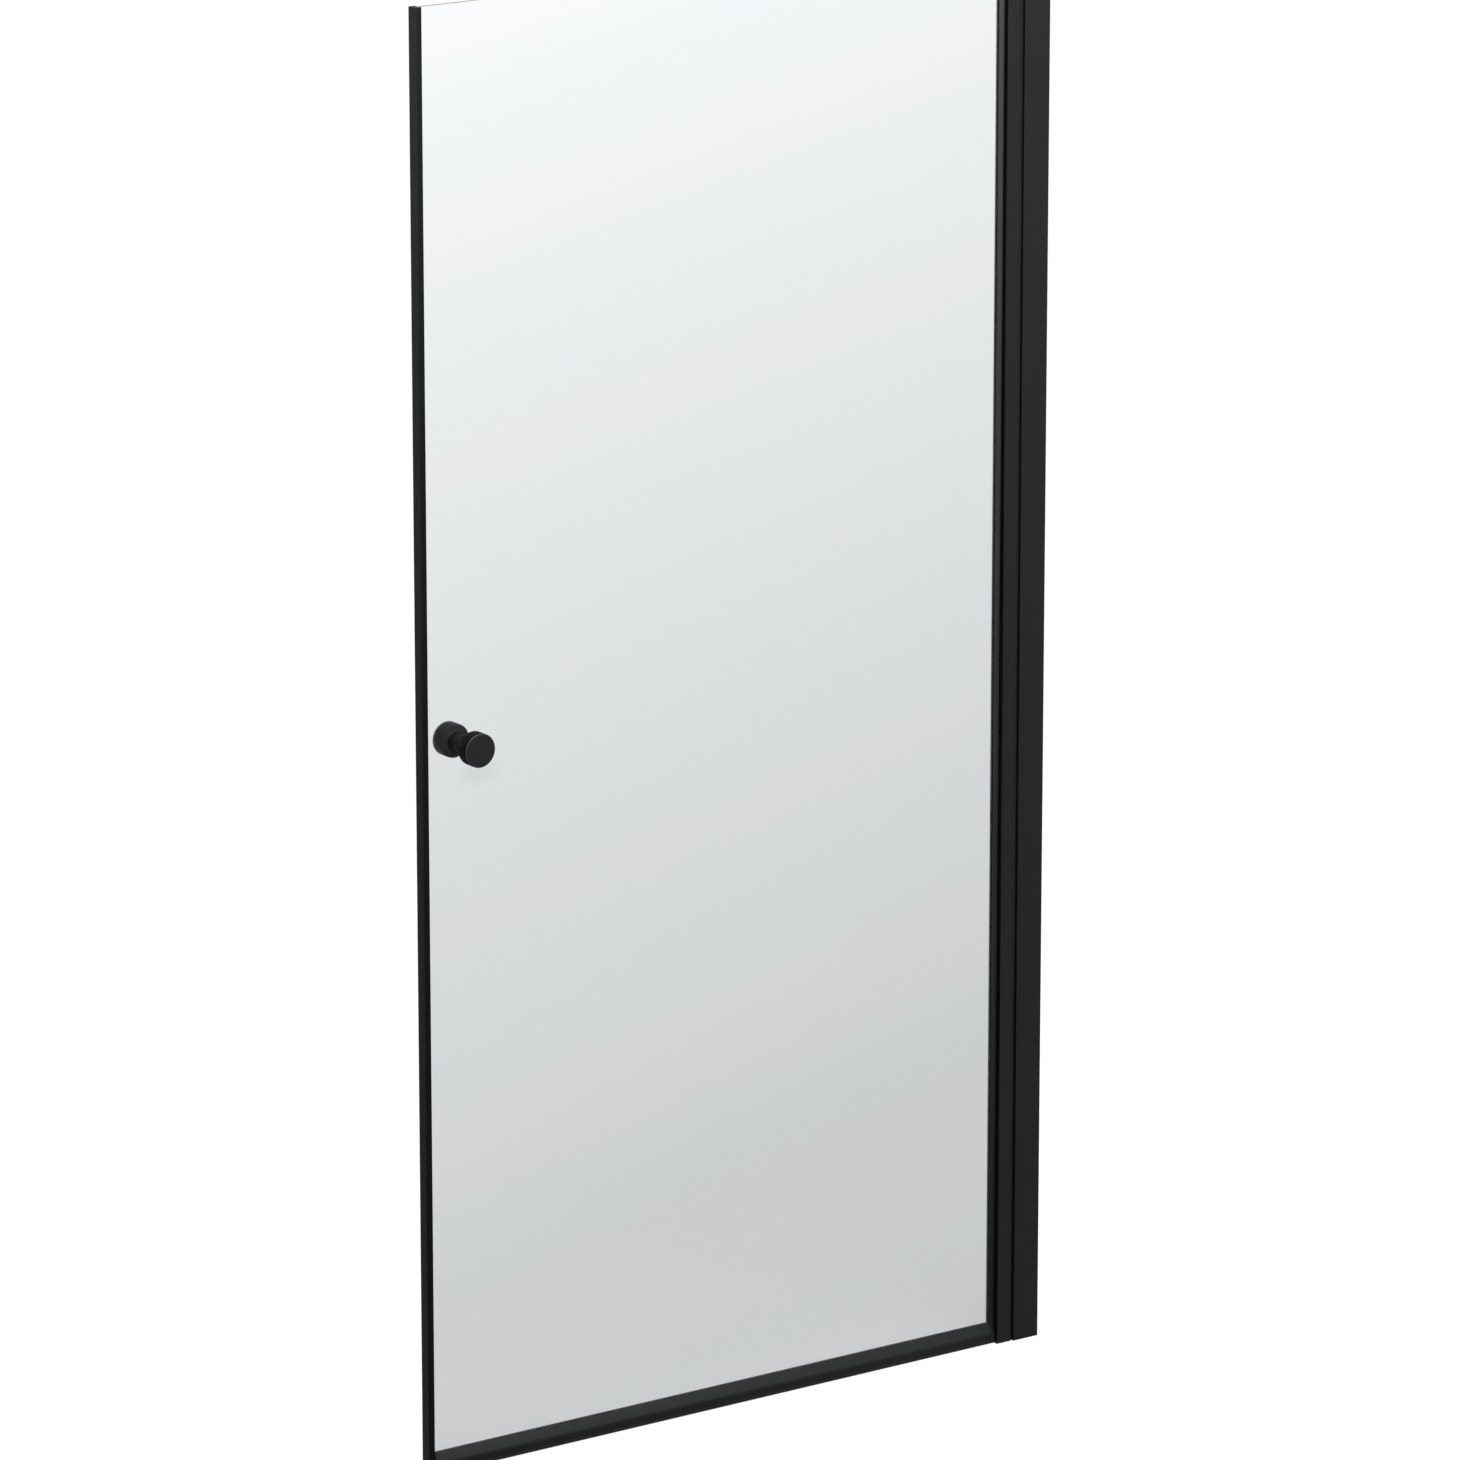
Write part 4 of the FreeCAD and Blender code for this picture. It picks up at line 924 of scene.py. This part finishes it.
def place_aimed(name, data, spot, direction):
    """A lamp or camera at a spot, looking along a direction with its top up."""
    holder = bpy.data.objects.new(name, data)
    holder.location = spot
    holder.rotation_mode = "QUATERNION"
    holder.rotation_quaternion = direction.to_track_quat("-Z", "Y")
    bpy.context.scene.collection.objects.link(holder)
    return holder


light_room()
sun_data = bpy.data.lights.new("soft_sun", "SUN")
sun_data.energy = SUN_STRENGTH
sun_data.angle = SUN_SPREAD
place_aimed("soft_sun", sun_data, Vector(), -SUN_FROM)
top_data = bpy.data.lights.new("top_lamp", "AREA")
top_data.energy = TOP_LAMP_POWER
top_data.shape = "RECTANGLE"
top_data.size = TOP_LAMP_WIDTH
top_data.size_y = TOP_LAMP_HEIGHT
place_aimed("top_lamp", top_data, TOP_LAMP_SPOT, TOP_LAMP_AIM - TOP_LAMP_SPOT)
bpy.context.scene.view_settings.view_transform = "Standard"
print("room strength", ROOM_STRENGTH, "sun", SUN_STRENGTH)

# %% [markdown]
# The photograph keeps all uprights parallel and looks down from the left at the same
# time, which only a strongly shifted lens can do. Other views share this camera's
# shift, so it stays small here, and a long lens from further off keeps the uprights
# nearly parallel instead.

# %% Place the camera
CAMERA_SPOT = Vector((-5.920, -8.413, 3.661))
CAMERA_YAW = math.radians(35.088)
CAMERA_PITCH = math.radians(14.243)
CAMERA_LENS = 200.0
CAMERA_SHIFT = -0.06
CAMERA_REACH = 200.0

camera_data = bpy.data.cameras.new("camera")
camera_data.lens = CAMERA_LENS
camera_data.shift_y = CAMERA_SHIFT
camera_data.clip_end = CAMERA_REACH
sight = Vector((math.sin(CAMERA_YAW) * math.cos(CAMERA_PITCH), math.cos(CAMERA_YAW) * math.cos(CAMERA_PITCH),
                -math.sin(CAMERA_PITCH)))
camera = place_aimed("camera", camera_data, CAMERA_SPOT, sight)
bpy.context.scene.camera = camera
print("camera", round(CAMERA_SPOT.length, 2), "m from the door's foot")

# %% [markdown]
# The dressed door is complete. The dressed door has to fill the same box as the
# imported one.

# %% Finish
print("done")
